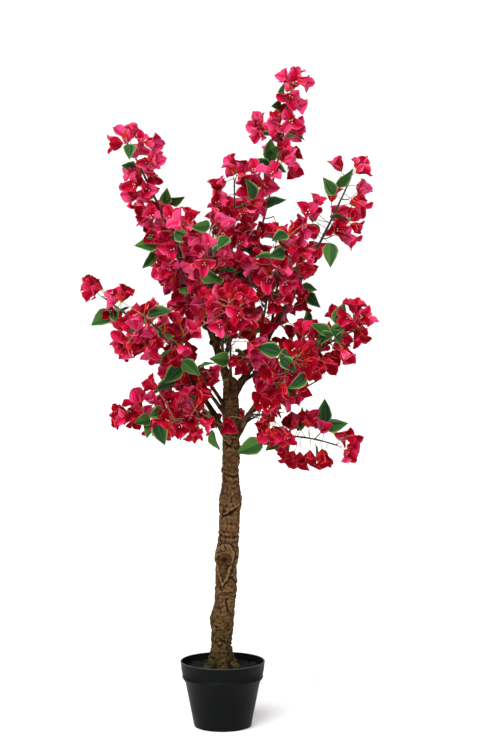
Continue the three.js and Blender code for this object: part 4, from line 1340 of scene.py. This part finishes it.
def add_trunk(parts, depth):
    """Rings of the trunk's own radius plus its relief, with a flat foot and a rounded top."""
    sides, rings = TRUNK_SIDES, TRUNK_RINGS
    height = np.linspace(TRUNK_FOOT, TRUNK_TOP, rings)[:, None]
    angle = (np.arange(sides) * TAU / sides)[None]
    relief, recess, ridge = trunk_relief(angle, height, depth)
    dome = np.sqrt(1 - np.clip((height - (TRUNK_TOP - 13)) / 13.6, 0, 1) ** 2)
    settle = smooth((height - TRUNK_FOOT) / 10) * 0.7 + 0.3
    radius = (trunk_radius(height, angle) + relief * settle) * dome
    centre = trunk_axis(height[:, 0])
    ring = centre[:, None] + np.stack([radius * np.cos(angle), radius * np.sin(angle), 0 * radius], -1)
    verts = np.concatenate([ring.reshape(-1, 3), [centre[0], centre[-1]]])
    # recess carries painted shade and ridge a painted highlight; moss is the moss's own green.
    marks = {"recess": recess, "ridge": ridge, "moss": moss_share(angle, height)}
    marks = {name: np.append(value.ravel(), [0, 0]) for name, value in marks.items()}
    parts.add(verts, grid_quads(rings, sides, closed=True), end_fans(rings, sides), **marks)


def add_limb(parts, shoot, depth):
    """A limb: a tube that flares at its root, with cracks along it."""
    steps = np.diff(shoot.point(np.linspace(0, shoot.bare, 60)), axis=0)
    length = float(np.linalg.norm(steps, axis=1).sum())
    rings = max(14, int(length / 2.6))
    sides = 12 + 2 * int(shoot.root)
    share = np.linspace(0, shoot.bare, rings)
    walked = share / shoot.bare
    flare = 1 + 0.35 * np.exp(-walked * length / (1.6 * shoot.root))
    radius = mix(shoot.root, shoot.tip_radius, walked) * flare
    u = np.arange(sides)[None] / sides
    v = walked[:, None] * length
    seed = 5 * shoot.index
    vein = np.abs(2 * fractal_noise(u * 4, v / 22 + seed, 4, 7, 3) - 1)
    cracks = smooth(1 - vein / 0.14)
    lumps = fractal_noise(u * 3, v / 15 + seed, 3, 29, 3) - 0.5
    scale = shoot.root / 8.5
    joints = np.exp(-((np.mod(v + 9, 31) - 15.5) / 3.2) ** 2) * 0.8
    relief = scale * (2.0 * lumps - 0.55 * depth * cracks + joints)
    # Painted shade in the cracks and where the lumps sink; the ridge mark below is a painted highlight on the
    # lumps.
    recess = np.clip(0.85 * cracks + 0.6 * smooth(-lumps * 5), 0, 0.92)
    marks = {"recess": recess, "ridge": 0.6 * (smooth(lumps * 5) * (1 - cracks)), "moss": 0.0}
    add_tube(parts, shoot.point(share), radius, sides, relief=relief, **marks)


def add_cut_stub(parts, shoot):
    """A short pruned stub on the left leader, ringed by a healed lip."""
    axis = unit(np.array([-0.62, -0.75, 0.12]))
    reach = np.array([0.0, 5.0, 8.5, 10.2, 10.4, 9.2])
    radius = np.array([6.4, 5.6, 5.4, 5.0, 3.9, 2.2])
    # The stub's end is darkened with the recess colour and the whole stub a little lightened with the ridge
    # colour.
    marks = {"recess": (reach > 9)[:, None] * 0.7, "ridge": 0.3, "moss": 0.0}
    add_tube(parts, shoot.point(0.19) + axis * reach[:, None], radius, 18, **marks)


# ----------------------------------------------------------------------------------------------------------
# Flowers and leaves

# Ranges that the shape of a bract is drawn from, with its first three angles in degrees.
BRACT_OPENING = (8, 32)
BRACT_CLOSING = (32, 104)
BRACT_CURL = (-60, 90)
BRACT_CUP = (0.7, 1.35)
BRACT_RUFFLE = (2.0, 4.4)
BRACT_SKEW = (-0.07, 0.07)

# Rows and columns of a bract and of a leaf, as shares of the length and of the half width.
BRACT_ALONG = np.array([0.0, 0.13, 0.30, 0.50, 0.68, 0.82, 0.92, 1.0])
BRACT_HALF = np.array([0.12, 0.62, 0.92, 1.0, 0.92, 0.64, 0.22, 0.0])
BRACT_ACROSS = np.array([-1.0, -0.88, -0.48, 0.0, 0.48, 0.88, 1.0])
LEAF_ALONG = np.array([0.0, 0.08, 0.2, 0.34, 0.48, 0.62, 0.76, 0.88, 0.96, 1.0])
LEAF_ACROSS = np.array([-1.0, -0.9, -0.74, -0.42, -0.035, 0.035, 0.42, 0.74, 0.9, 1.0])
# A floret's tube: shares of its length, and its radius there.
FLORET_PROFILE = ((0.0, 0.75), (0.45, 0.55), (0.85, 0.8), (1.0, 0.95))
FLORET_SIDES = 5
LEAF_TINTS = ("margin", "flush", "rib", "dark", "green", "fresh")
LEAF_ROLL = 70
# The dark patch beside the rib: its column on a hanging leaf and on another, and the row where it ends.
BLOTCH_COLUMNS = (3, 5)
BLOTCH_DROOP = 0.6
BLOTCH_END = 6


def bract_surface(length, width, opening, closing, curl, cup, ruffle, phase, skew):
    """One bract, its foot at the throat and its rib in the plane of x and z.

    The rib leaves the throat at the opening angle from the axis and bends to the closing angle, its tip by
    the curl as well. Across the rib the blade is an arc of the cup angle. Its edge is waved by a sine, and
    its whole face crinkled by a product of sines.
    """
    s = BRACT_ALONG
    angle = opening + (closing - opening) * s**1.2
    angle[-1] += curl
    step = length * np.diff(s)
    mid = 0.5 * (angle[1:] + angle[:-1])
    x = 1.2 + np.concatenate([[0], np.cumsum(np.sin(mid) * step)])
    z = np.concatenate([[0], np.cumsum(np.cos(mid) * step)])
    half = 0.5 * width * BRACT_HALF
    t = BRACT_ACROSS[None]
    out = half[:, None] * np.sin(cup * t) / cup
    lift = half[:, None] * (1 - np.cos(cup * t)) / cup
    lift = lift + 0.045 * width * np.abs(t) * np.sin(math.pi * s)[:, None]
    wave = np.sin(9.5 * s[:, None] + phase + 2.0 * np.sign(t))
    lift = lift + ruffle * np.abs(t) ** 3 * wave * smooth(s * 3)[:, None]
    crinkle = np.sin(13 * s[:, None] + 2.6 * phase + 1.5 * t) * np.cos(4.2 * t + 1.7 * phase)
    lift = lift + 0.40 * ruffle * crinkle * smooth(s * 4)[:, None]
    px = x[:, None] - np.cos(angle)[:, None] * lift
    pz = z[:, None] + np.sin(angle)[:, None] * lift
    py = out + skew * (s**2)[:, None] * length
    grid = np.stack([px, py, pz], -1)
    return np.concatenate([grid[:-1].reshape(-1, 3), grid[-1, len(BRACT_ACROSS) // 2][None]])


def blade_faces(along, across):
    """Quads of a blade's rows, triangles to its tip, and the column of each."""
    rows, columns = len(along) - 1, len(across)
    quads = grid_quads(rows, columns)[:, ::-1]
    last = (rows - 1) * columns + np.arange(columns - 1)
    tris = np.stack([last, np.full(columns - 1, rows * columns), last + 1], -1)
    return quads, tris, np.tile(np.arange(columns - 1), rows - 1), np.arange(columns - 1)


def blade_uv(along, across):
    """The blade's own map: across in u and along in v."""
    u, v = np.meshgrid(0.5 + 0.5 * across, along[:-1])
    return np.concatenate([np.stack([u.ravel(), v.ravel()], -1), [[0.5, 1.0]]])


def turned_about_axis(points, angle):
    """Points turned about the z axis by an angle."""
    c, s = math.cos(angle), math.sin(angle)
    return points @ np.array([[c, s, 0], [-s, c, 0], [0, 0, 1]])


def flower_variant(rng, length, width):
    """Three bracts a third of a turn apart, each its own shape."""
    opening = math.radians(rng.uniform(*BRACT_OPENING))
    closing = math.radians(rng.uniform(*BRACT_CLOSING))
    bracts = []
    for k in range(3):
        bract = bract_surface(
            length * rng.uniform(0.92, 1.06),
            width * rng.uniform(0.92, 1.08),
            opening + math.radians(rng.uniform(-5, 5)),
            closing + math.radians(rng.uniform(-14, 14)),
            math.radians(rng.uniform(*BRACT_CURL)),
            rng.uniform(*BRACT_CUP),
            rng.uniform(*BRACT_RUFFLE),
            rng.uniform(0, TAU),
            rng.uniform(*BRACT_SKEW),
        )
        bracts.append(turned_about_axis(bract, k * TAU / 3 + rng.uniform(-0.1, 0.1)))
    return bracts


def to_axis(points, at, axis, spin, size=1.0):
    """Local points moved so that their z axis lies on an axis, turned about it by the spin."""
    u, w = across_axis(axis)
    turned = turned_about_axis(points * size, spin)
    return at + turned[:, :1] * u + turned[:, 1:2] * w + turned[:, 2:] * axis


def floret_parts(rng, length):
    """A floret: a thin tube with a five-pointed star at its mouth, in local points."""
    sides, points = FLORET_SIDES, 2 * FLORET_SIDES
    lean = rng.uniform(0.10, 0.24)
    top = length * rng.uniform(0.85, 1.1)
    rings = []
    for share, radius in FLORET_PROFILE:
        angle = np.arange(sides) * TAU / sides
        x = 0.9 + lean * top * share + radius * np.cos(angle)
        rings.append(np.stack([x, radius * np.sin(angle), np.full(sides, top * share)], -1))
    tube = np.concatenate(rings)
    angle = np.arange(points) * TAU / points
    reach = np.where(np.arange(points) % 2 == 0, 1.6, 0.7)
    centre_x = 0.9 + lean * top
    star = np.stack([centre_x + reach * np.cos(angle), reach * np.sin(angle), top + 0.25 * reach], -1)
    star = np.concatenate([star, [[centre_x, 0, top + 0.1]]])
    return tube, star


def add_leaf(parts, base, directions, length, width, droop, tint):
    """A pointed blade folded along its rib and arched down, its half width a skewed sine of the way along."""
    axis, side, face = directions
    s = LEAF_ALONG
    half = 0.5 * width * np.sin(math.pi * s**0.64).clip(0) ** 1.02
    half[0] = 0.9
    half[2:-1:2] *= 0.95
    t = LEAF_ACROSS[None]
    bend = droop * s**1.6
    forward = length * (s - 0.12 * (bend**2) * s)
    lift = -length * 0.42 * bend * s
    wave = 0.045 * width * np.sin(9 * s[:, None] + 2.2 * np.sign(t)) * np.abs(t) ** 2
    out = half[:, None] * t
    rise = lift[:, None] + half[:, None] * 0.34 * np.abs(t) ** 1.3 + wave * np.sin(math.pi * s)[:, None]
    grid = base + forward[:, None, None] * axis + out[..., None] * side + rise[..., None] * face
    points = np.concatenate([grid[:-1].reshape(-1, 3), grid[-1, len(LEAF_ACROSS) // 2][None]])
    quads, tris, quad_columns, tri_columns = blade_faces(LEAF_ALONG, LEAF_ACROSS)
    edge, flush, rib, dark = (LEAF_TINTS.index(name) for name in ("margin", "flush", "rib", "dark"))
    # The half beyond the rib takes another green: painted light and shade on the two sides of the fold.
    other = dark + (tint + 1) % 3 if tint < 2 else dark + 1
    slots = np.array([edge, flush, dark + tint, dark + tint, rib, other, other, flush, edge])
    quad_rows = np.arange(len(quads)) // (len(LEAF_ACROSS) - 1)
    blotch = quad_columns == (BLOTCH_COLUMNS[0] if droop > BLOTCH_DROOP else BLOTCH_COLUMNS[1])
    blotch &= (quad_rows > 0) & (quad_rows < BLOTCH_END) & (tint < 2)
    quad_slots = np.where(blotch, dark, slots[quad_columns])
    parts.add(points, quads, tris, quad_slots, slots[tri_columns], blade_uv(LEAF_ALONG, LEAF_ACROSS))


BRACT_TINTS = ("pink", "rose", "crimson", "wine", "throat", "rim", "dim_rim")
DARKEST = BRACT_TINTS.index("wine")
THROAT_SLOT = BRACT_TINTS.index("throat")
RIM_SLOT = BRACT_TINTS.index("rim")
CROWN_FOOT = 480
CROWN_HEIGHT = 700
TINT_BY_CHANCE = 0.52
PAINTED_LIGHT_BY_HEIGHT = 0.48
ODDS = 0.35


def tint_of(shoot, place, height):
    """Which of four bract tints a spray has: partly by chance, and by height as painted light, lighter high
    in the crown and darker low down.
    """
    depth = 1 - (height - CROWN_FOOT) / CROWN_HEIGHT
    value = TINT_BY_CHANCE * chance(shoot.index + 3, place, 77) + PAINTED_LIGHT_BY_HEIGHT * depth
    return int(np.clip(value * 4.6 - 0.5, 0, DARKEST))


def bract_slots(columns, tint, index, place, use):
    """The slots of a bract's quads, and of its tip.

    The body is within a tint of the flower's. One side of the rib is a tint deeper as painted shade in the
    fold, the column beside the other edge may be a tint paler as a painted highlight, the foot is flushed,
    and the edge is a thin rim of painted light that shines through the cloth.
    """
    last = len(BRACT_ACROSS) - 2
    rows = np.arange(len(columns)) // (last + 1)
    from_edge = np.minimum(columns, last - columns)
    at_throat = rows == 0
    flushed = at_throat | ((rows == 1) & (from_edge > 0))
    body = min(DARKEST, max(0, tint + int(3 * chance(index, place, 300 + use)) - 1))
    deep = min(DARKEST, body + 1)
    pale = max(0, body - int(chance(index, place, 430 + use) > ODDS))
    warm = flushed if chance(index, place, 360 + use) > ODDS else at_throat
    edge = RIM_SLOT if body < 2 else RIM_SLOT + 1
    # Painted shade on one side of the rib and a painted highlight in the column by the other edge.
    blade = np.where((from_edge == last // 2) & (columns < last / 2), deep, body)
    blade = np.where(columns == last - 1, pale, blade)
    return np.where(warm, THROAT_SLOT, np.where(from_edge == 0, edge, blade)), body


def flower_places():
    """Every flower with its shoot, its place there, its number in the spray, and its size."""
    places = []
    for cluster in CLUSTERS:
        for k, flower in enumerate(cluster["flowers"]):
            places.append((flower, cluster["shoot"], cluster["place"], k, 1.0))
    for k, extra in enumerate(MORE_FLOWERS):
        places.append((extra, extra["shoot"], extra["place"], 3 + k % 5, extra.get("size", 0.95)))
    return places


def leaf_places():
    """Every leaf with the direction across it, its shoot, its place there, and its size."""
    places = []
    for cluster in CLUSTERS:
        leaf = cluster["leaf"]
        if leaf:
            level, up = across_axis(leaf["axis"])
            roll = math.radians(LEAF_ROLL) * (leaf["spin"] - 0.5)
            side = level * math.cos(roll) + up * math.sin(roll)
            places.append((leaf, side, cluster["shoot"], cluster["place"], 1.0))
    for extra in MORE_LEAVES:
        places.append((extra, extra["side"], extra["shoot"], extra["place"], extra["size"]))
    return places


# ----------------------------------------------------------------------------------------------------------
# Operators

LIMB_SHADE = 0.66
STEM_RINGS = 34
STEM_TIP_RADIUS = 1.3
STALK_SIDES = 5
FLOWER_SEED = 5
FLOWER_KINDS = 20
FLORET_KINDS = 6
HIGH_CROWN = 790.0

LIMB_NODES = [f"limb_{row[0]}" for row in SHOOTS]
MASS_NODES = [f"mass_{row[0]}" for row in SHOOTS]


def settle(made, slot_name, *nodes):
    """The piece rides on the one body and stands for its nodes; its slot name is not used."""
    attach(made, "root")
    if nodes:
        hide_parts(*nodes)


class TREE_OT_pot(bpy.types.Operator):
    """Nursery pot with a collar and a rolled rim"""

    bl_idname = "bougainvillea.pot"
    bl_label = "Pot"

    def execute(self, context):
        settings = context.scene.pot_settings
        parts = MeshParts()
        profile = pot_profile()
        # The outer top of the rolled rim takes the painted highlight.
        outside = profile[1:-1, 0] > POT_RIM_RADIUS - 1.3
        at_rim = np.flatnonzero(outside & (profile[1:-1, 1] > POT_HEIGHT - 1.4))
        add_turned(parts, profile, 144, at_rim)
        grain = {"Scale": 1500.0, "Detail": 3.0, "Smoothest": 0.42, "Roughest": 0.56}
        plastic = grained("matt black plastic", settings.black, grain, 0.05, Specular_IOR_Level=0.06)
        painted_rim_highlight = grained("painted rim highlight", settings.painted_rim_highlight, grain, 0.05, Specular_IOR_Level=0.2)
        settle(parts.piece("nursery_pot", [plastic, painted_rim_highlight]), "pot", "pot")
        return {"FINISHED"}


class TREE_OT_gravel(bpy.types.Operator):
    """Dark gravel on the cement filling"""

    bl_idname = "bougainvillea.gravel"
    bl_label = "Gravel"

    def execute(self, context):
        settings = context.scene.pot_settings
        grain = {"Scale": 900.0, "Detail": 5.0, "Smoothest": 0.55, "Roughest": 0.9}
        kinds = [
            grained(f"gravel {i}", [c * share for c in settings.stone], grain, 0.3, Specular_IOR_Level=0.12)
            for i, share in enumerate(STONE_SHADES)
        ]
        parts = MeshParts()
        add_stones(parts, settings.stones)
        settle(parts.piece("gravel_stones", kinds, smooth_shading=False), "gravel")
        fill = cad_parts["fill"]
        fill.data.materials.clear()
        fill.data.materials.append(kinds[0])
        return {"FINISHED"}


class TREE_OT_bark(bpy.types.Operator):
    """Trunk and limbs with cracked bark"""

    bl_idname = "bougainvillea.bark"
    bl_label = "Bark"

    def execute(self, context):
        wood = context.scene.wood_settings
        depth = wood.relief / MM
        trunk = MeshParts()
        add_trunk(trunk, depth)
        bark = bark_material("trunk bark", wood, wood.tan, wood.red, 95.0)
        settle(trunk.piece("trunk_bark", [bark]), "bark", "trunk")
        limbs = MeshParts()
        for shoot in SHOOT_LINES.values():
            add_limb(limbs, shoot, depth)
        add_cut_stub(limbs, SHOOT_LINES["left_leader"])
        darker = [[LIMB_SHADE * c for c in colour] for colour in (wood.tan, wood.red)]
        bark = bark_material("limb bark", wood, *darker, 210.0)
        settle(limbs.piece("limb_bark", [bark]), "bark", *LIMB_NODES)
        return {"FINISHED"}


class TREE_OT_twigs(bpy.types.Operator):
    """Stems, twigs and the stalks of flowers and leaves"""

    bl_idname = "bougainvillea.twigs"
    bl_label = "Twigs"

    def execute(self, context):
        wood = context.scene.wood_settings
        parts = MeshParts()
        for shoot in SHOOT_LINES.values():
            share = np.linspace(shoot.bare * 0.98, 1.0, STEM_RINGS)
            walked = np.linspace(0, 1, STEM_RINGS)
            knots = 1 + 0.22 * np.exp(-(((np.mod(walked * STEM_RINGS, 6) - 3) / 0.7) ** 2))
            radius = mix(shoot.tip_radius * 0.95, STEM_TIP_RADIUS, walked)
            add_tube(parts, shoot.point(share), radius * knots, 8)
        for cluster in CLUSTERS:
            twig, leaf = cluster["twig"], cluster["leaf"]
            path = bent_path(twig["start"], twig["end"], twig["stem"] * -1.6, 6)
            add_tube(parts, path, np.linspace(1.25, 0.95, 6), 6)
            for flower in cluster["flowers"]:
                path = bent_path(flower["root"], flower["throat"], twig["axis"] * 1.8, 5)
                add_tube(parts, path, np.linspace(0.6, 0.75, 5), STALK_SIDES, 1)
            if leaf:
                path = bent_path(leaf["root"], leaf["base"], np.array([0, 0, -0.8]), 4)
                add_tube(parts, path, 0.62, STALK_SIDES, 1)
        for extra in MORE_FLOWERS:
            path = curved_path(extra["stem"], extra["root"], extra["throat"], 7)
            add_tube(parts, path, np.linspace(0.8, 0.6, 7), STALK_SIDES, 1)
        for extra in MORE_LEAVES:
            path = curved_path(extra["root"], extra["joint"], extra["base"], 6)
            add_tube(parts, path, 0.6, STALK_SIDES, 1)
        grain = {"Scale": 700.0, "Detail": 4.0, "Smoothest": 0.5, "Roughest": 0.8}
        stem = grained("wrapped stem", wood.stem, grain, 0.3)
        stalk = grained("pale stalk", wood.stalk, grain, 0.1)
        settle(parts.piece("twigs", [stem, stalk]), "sprays", *MASS_NODES)
        return {"FINISHED"}


class TREE_OT_flowers(bpy.types.Operator):
    """Bracts and florets"""

    bl_idname = "bougainvillea.flowers"
    bl_label = "Flowers"

    def execute(self, context):
        blossom = context.scene.blossom_settings
        rng = np.random.default_rng(FLOWER_SEED)
        length, width = blossom.bract_length / MM, blossom.bract_width / MM
        variants = [flower_variant(rng, length, width) for _ in range(FLOWER_KINDS)]
        florets = [floret_parts(rng, blossom.floret_length / MM) for _ in range(FLORET_KINDS)]
        quads, tris, columns, _ = blade_faces(BRACT_ALONG, BRACT_ACROSS)
        uv = blade_uv(BRACT_ALONG, BRACT_ACROSS)
        tube_quads = grid_quads(len(FLORET_PROFILE), FLORET_SIDES, closed=True)
        star_tris = ring_fan(np.arange(2 * FLORET_SIDES), 2 * FLORET_SIDES)
        halves = {"high": MeshParts(), "low": MeshParts()}
        middles = MeshParts()
        for number, (flower, shoot, place, k, size) in enumerate(flower_places()):
            height = flower["throat"][2]
            tint = flower.get("tint", tint_of(shoot, place, height))
            parts = halves["high" if height > HIGH_CROWN else "low"]
            if "size" not in flower:
                size *= mix(0.88, 1.08, chance(shoot.index, place, 330 + k))
            for b, bract in enumerate(variants[number % len(variants)]):
                points = to_axis(bract, flower["throat"], flower["axis"], flower["spin"], size)
                slots, body = bract_slots(columns, tint, shoot.index, place, 10 * k + b)
                parts.add(points, quads, tris, slots, body, uv)
            for b in range(2 + int(2 * chance(shoot.index, place, 340 + k))):
                tube, star = florets[(number + b) % len(florets)]
                spin = flower["spin"] + (b + 0.5) * TAU / 3
                tube = to_axis(tube, flower["throat"], flower["axis"], spin, size)
                star = to_axis(star, flower["throat"], flower["axis"], spin, size)
                middles.add(tube, tube_quads)
                middles.add(star, (), star_tris, tri_slot=1)
        cloth = {"smoothest": 0.5, "roughest": 0.72, "Specular_IOR_Level": 0.04}
        tints = [veined(f"bract {n}", getattr(blossom, n), 4.0, 1.1, 1.2, **cloth) for n in BRACT_TINTS]
        for name, parts in halves.items():
            settle(parts.piece(f"bracts_{name}", tints), "sprays", *MASS_NODES)
        grain = {"Scale": 900.0, "Detail": 2.0, "Smoothest": 0.5, "Roughest": 0.7}
        tube = grained("floret tube", (0.50, 0.10, 0.08), grain, 0.05)
        star = grained("floret star", blossom.floret, grain, 0.05)
        settle(middles.piece("florets", [tube, star]), "sprays")
        return {"FINISHED"}


class TREE_OT_leaves(bpy.types.Operator):
    """Pointed leaves with pale margins"""

    bl_idname = "bougainvillea.leaves"
    bl_label = "Leaves"

    def execute(self, context):
        settings = context.scene.leaf_settings
        length, width = settings.length / MM, settings.width / MM
        parts = MeshParts()
        for leaf, side, shoot, place, size in leaf_places():
            face = np.cross(leaf["axis"], side)
            droop = leaf.get("droop", mix(0.25, 0.95, chance(shoot.index, place, 500)))
            tint = int(3 * chance(shoot.index, place, 510))
            size *= mix(0.86, 1.1, chance(shoot.index, place, 520))
            directions = (leaf["axis"], side, face)
            add_leaf(parts, leaf["base"], directions, length * size, width * size, droop, tint)
        cloth = {"smoothest": 0.45, "roughest": 0.65, "Specular_IOR_Level": 0.14}
        flush = [mix(a, b, 0.25) for a, b in zip(settings.green, settings.margin)]
        rib = [mix(a, b, 0.6) for a, b in zip(settings.green, settings.fresh)]
        colours = (settings.margin, flush, rib, settings.dark, settings.green, settings.fresh)
        kinds = [veined(f"leaf {n}", c, 9.0, 0.32, 0.4, **cloth) for n, c in zip(LEAF_TINTS, colours)]
        settle(parts.piece("leaves", kinds), "sprays", *MASS_NODES)
        return {"FINISHED"}


# Lamps: name, the direction of their light, strength and softness in degrees.
SUNS = (
    ("key", (0.45, 0.95, -1.2), 3.9, 48),
    ("side", (-0.9, 0.35, -0.8), 0.7, 50),
    ("back", (0.2, -1.0, -0.75), 1.3, 50),
)
ROOM_LIGHT = 0.22
WALL_LIGHT = 1.1
WHITE = (1.0, 1.0, 1.0, 1.0)
FLOOR_REACH = 30000.0
CAMERA_EYE = (0.05, -3.2, 0.8)
CAMERA_AIM = (0.05, 0.0, 0.643)
CAMERA_LENS = 56.44
SENSOR_HEIGHT = 24.0


def studio_world():
    """An even soft light, and a white wall wherever the camera looks past the object."""
    world = bpy.data.worlds.new("studio")
    world.use_nodes = True
    tree = world.node_tree
    room = tree.nodes["Background"]
    room.inputs["Color"].default_value = WHITE
    room.inputs["Strength"].default_value = ROOM_LIGHT
    wall = tree.nodes.new("ShaderNodeBackground")
    wall.inputs["Color"].default_value = WHITE
    wall.inputs["Strength"].default_value = WALL_LIGHT
    path = tree.nodes.new("ShaderNodeLightPath")
    choose = tree.nodes.new("ShaderNodeMixShader")
    linked(tree, path.outputs["Is Camera Ray"], choose.inputs["Fac"])
    linked(tree, room.outputs["Background"], choose.inputs[1])
    linked(tree, wall.outputs["Background"], choose.inputs[2])
    linked(tree, choose.outputs["Shader"], tree.nodes["World Output"].inputs["Surface"])
    return world


class TREE_OT_stage(bpy.types.Operator):
    """Pale floor, soft lights and the camera"""

    bl_idname = "bougainvillea.stage"
    bl_label = "Stage"

    def execute(self, context):
        scene = context.scene
        floor = MeshParts()
        corners = [[x * FLOOR_REACH, y * FLOOR_REACH, 0] for x, y in ((-1, -1), (1, -1), (1, 1), (-1, 1))]
        floor.add(corners, [[0, 1, 2, 3]])
        paint, _, _ = new_material("studio floor", Base_Color=(0.93, 0.93, 0.93, 1.0), Roughness=0.95)
        floor.piece("studio_floor", [paint])
        scene.world = studio_world()
        for name, direction, strength, softness in SUNS:
            light = bpy.data.lights.new(name, "SUN")
            light.energy = strength
            light.angle = math.radians(softness)
            lamp = bpy.data.objects.new(name, light)
            lamp.rotation_euler = Vector(direction).to_track_quat("-Z", "Y").to_euler()
            scene.collection.objects.link(lamp)
        camera = bpy.data.cameras.new("camera")
        camera.sensor_fit = "VERTICAL"
        camera.sensor_height = SENSOR_HEIGHT
        camera.lens = CAMERA_LENS
        camera.clip_end = 200.0
        eye, aim = Vector(CAMERA_EYE), Vector(CAMERA_AIM)
        holder = bpy.data.objects.new("camera", camera)
        holder.location = eye
        holder.rotation_euler = (aim - eye).to_track_quat("-Z", "Y").to_euler()
        scene.collection.objects.link(holder)
        scene.camera = holder
        scene.view_settings.view_transform = "Standard"
        return {"FINISHED"}


class TREE_PT_panel(bpy.types.Panel):
    """The tree's pieces and settings"""

    bl_idname = "TREE_PT_panel"
    bl_label = "Bougainvillea"
    bl_space_type = "VIEW_3D"
    bl_region_type = "UI"
    bl_category = "Bougainvillea"

    def draw(self, context):
        for operator in OPERATORS:
            self.layout.operator(operator.bl_idname)
        for name, group in SETTINGS.items():
            box = self.layout.box()
            for key in group.__annotations__:
                box.prop(getattr(context.scene, name), key)


OPERATORS = (
    TREE_OT_pot, TREE_OT_gravel, TREE_OT_bark, TREE_OT_twigs, TREE_OT_flowers, TREE_OT_leaves, TREE_OT_stage,
)
SETTINGS = {
    "blossom_settings": BlossomSettings,
    "leaf_settings": LeafSettings,
    "wood_settings": WoodSettings,
    "pot_settings": PotSettings,
}


def register():
    """Registers the settings, the operators and the panel."""
    for group in (*SETTINGS.values(), *OPERATORS, TREE_PT_panel):
        bpy.utils.register_class(group)
    for name, group in SETTINGS.items():
        setattr(bpy.types.Scene, name, PointerProperty(type=group))


def unregister():
    """Takes back what register does, in the opposite order."""
    for name in SETTINGS:
        delattr(bpy.types.Scene, name)
    for group in reversed((*SETTINGS.values(), *OPERATORS, TREE_PT_panel)):
        bpy.utils.unregister_class(group)


def main():
    """Builds every piece in turn."""
    register()
    for name in ("pot", "gravel", "bark", "twigs", "flowers", "leaves", "stage"):
        getattr(bpy.ops.bougainvillea, name)()


if __name__ == "__main__":
    main()
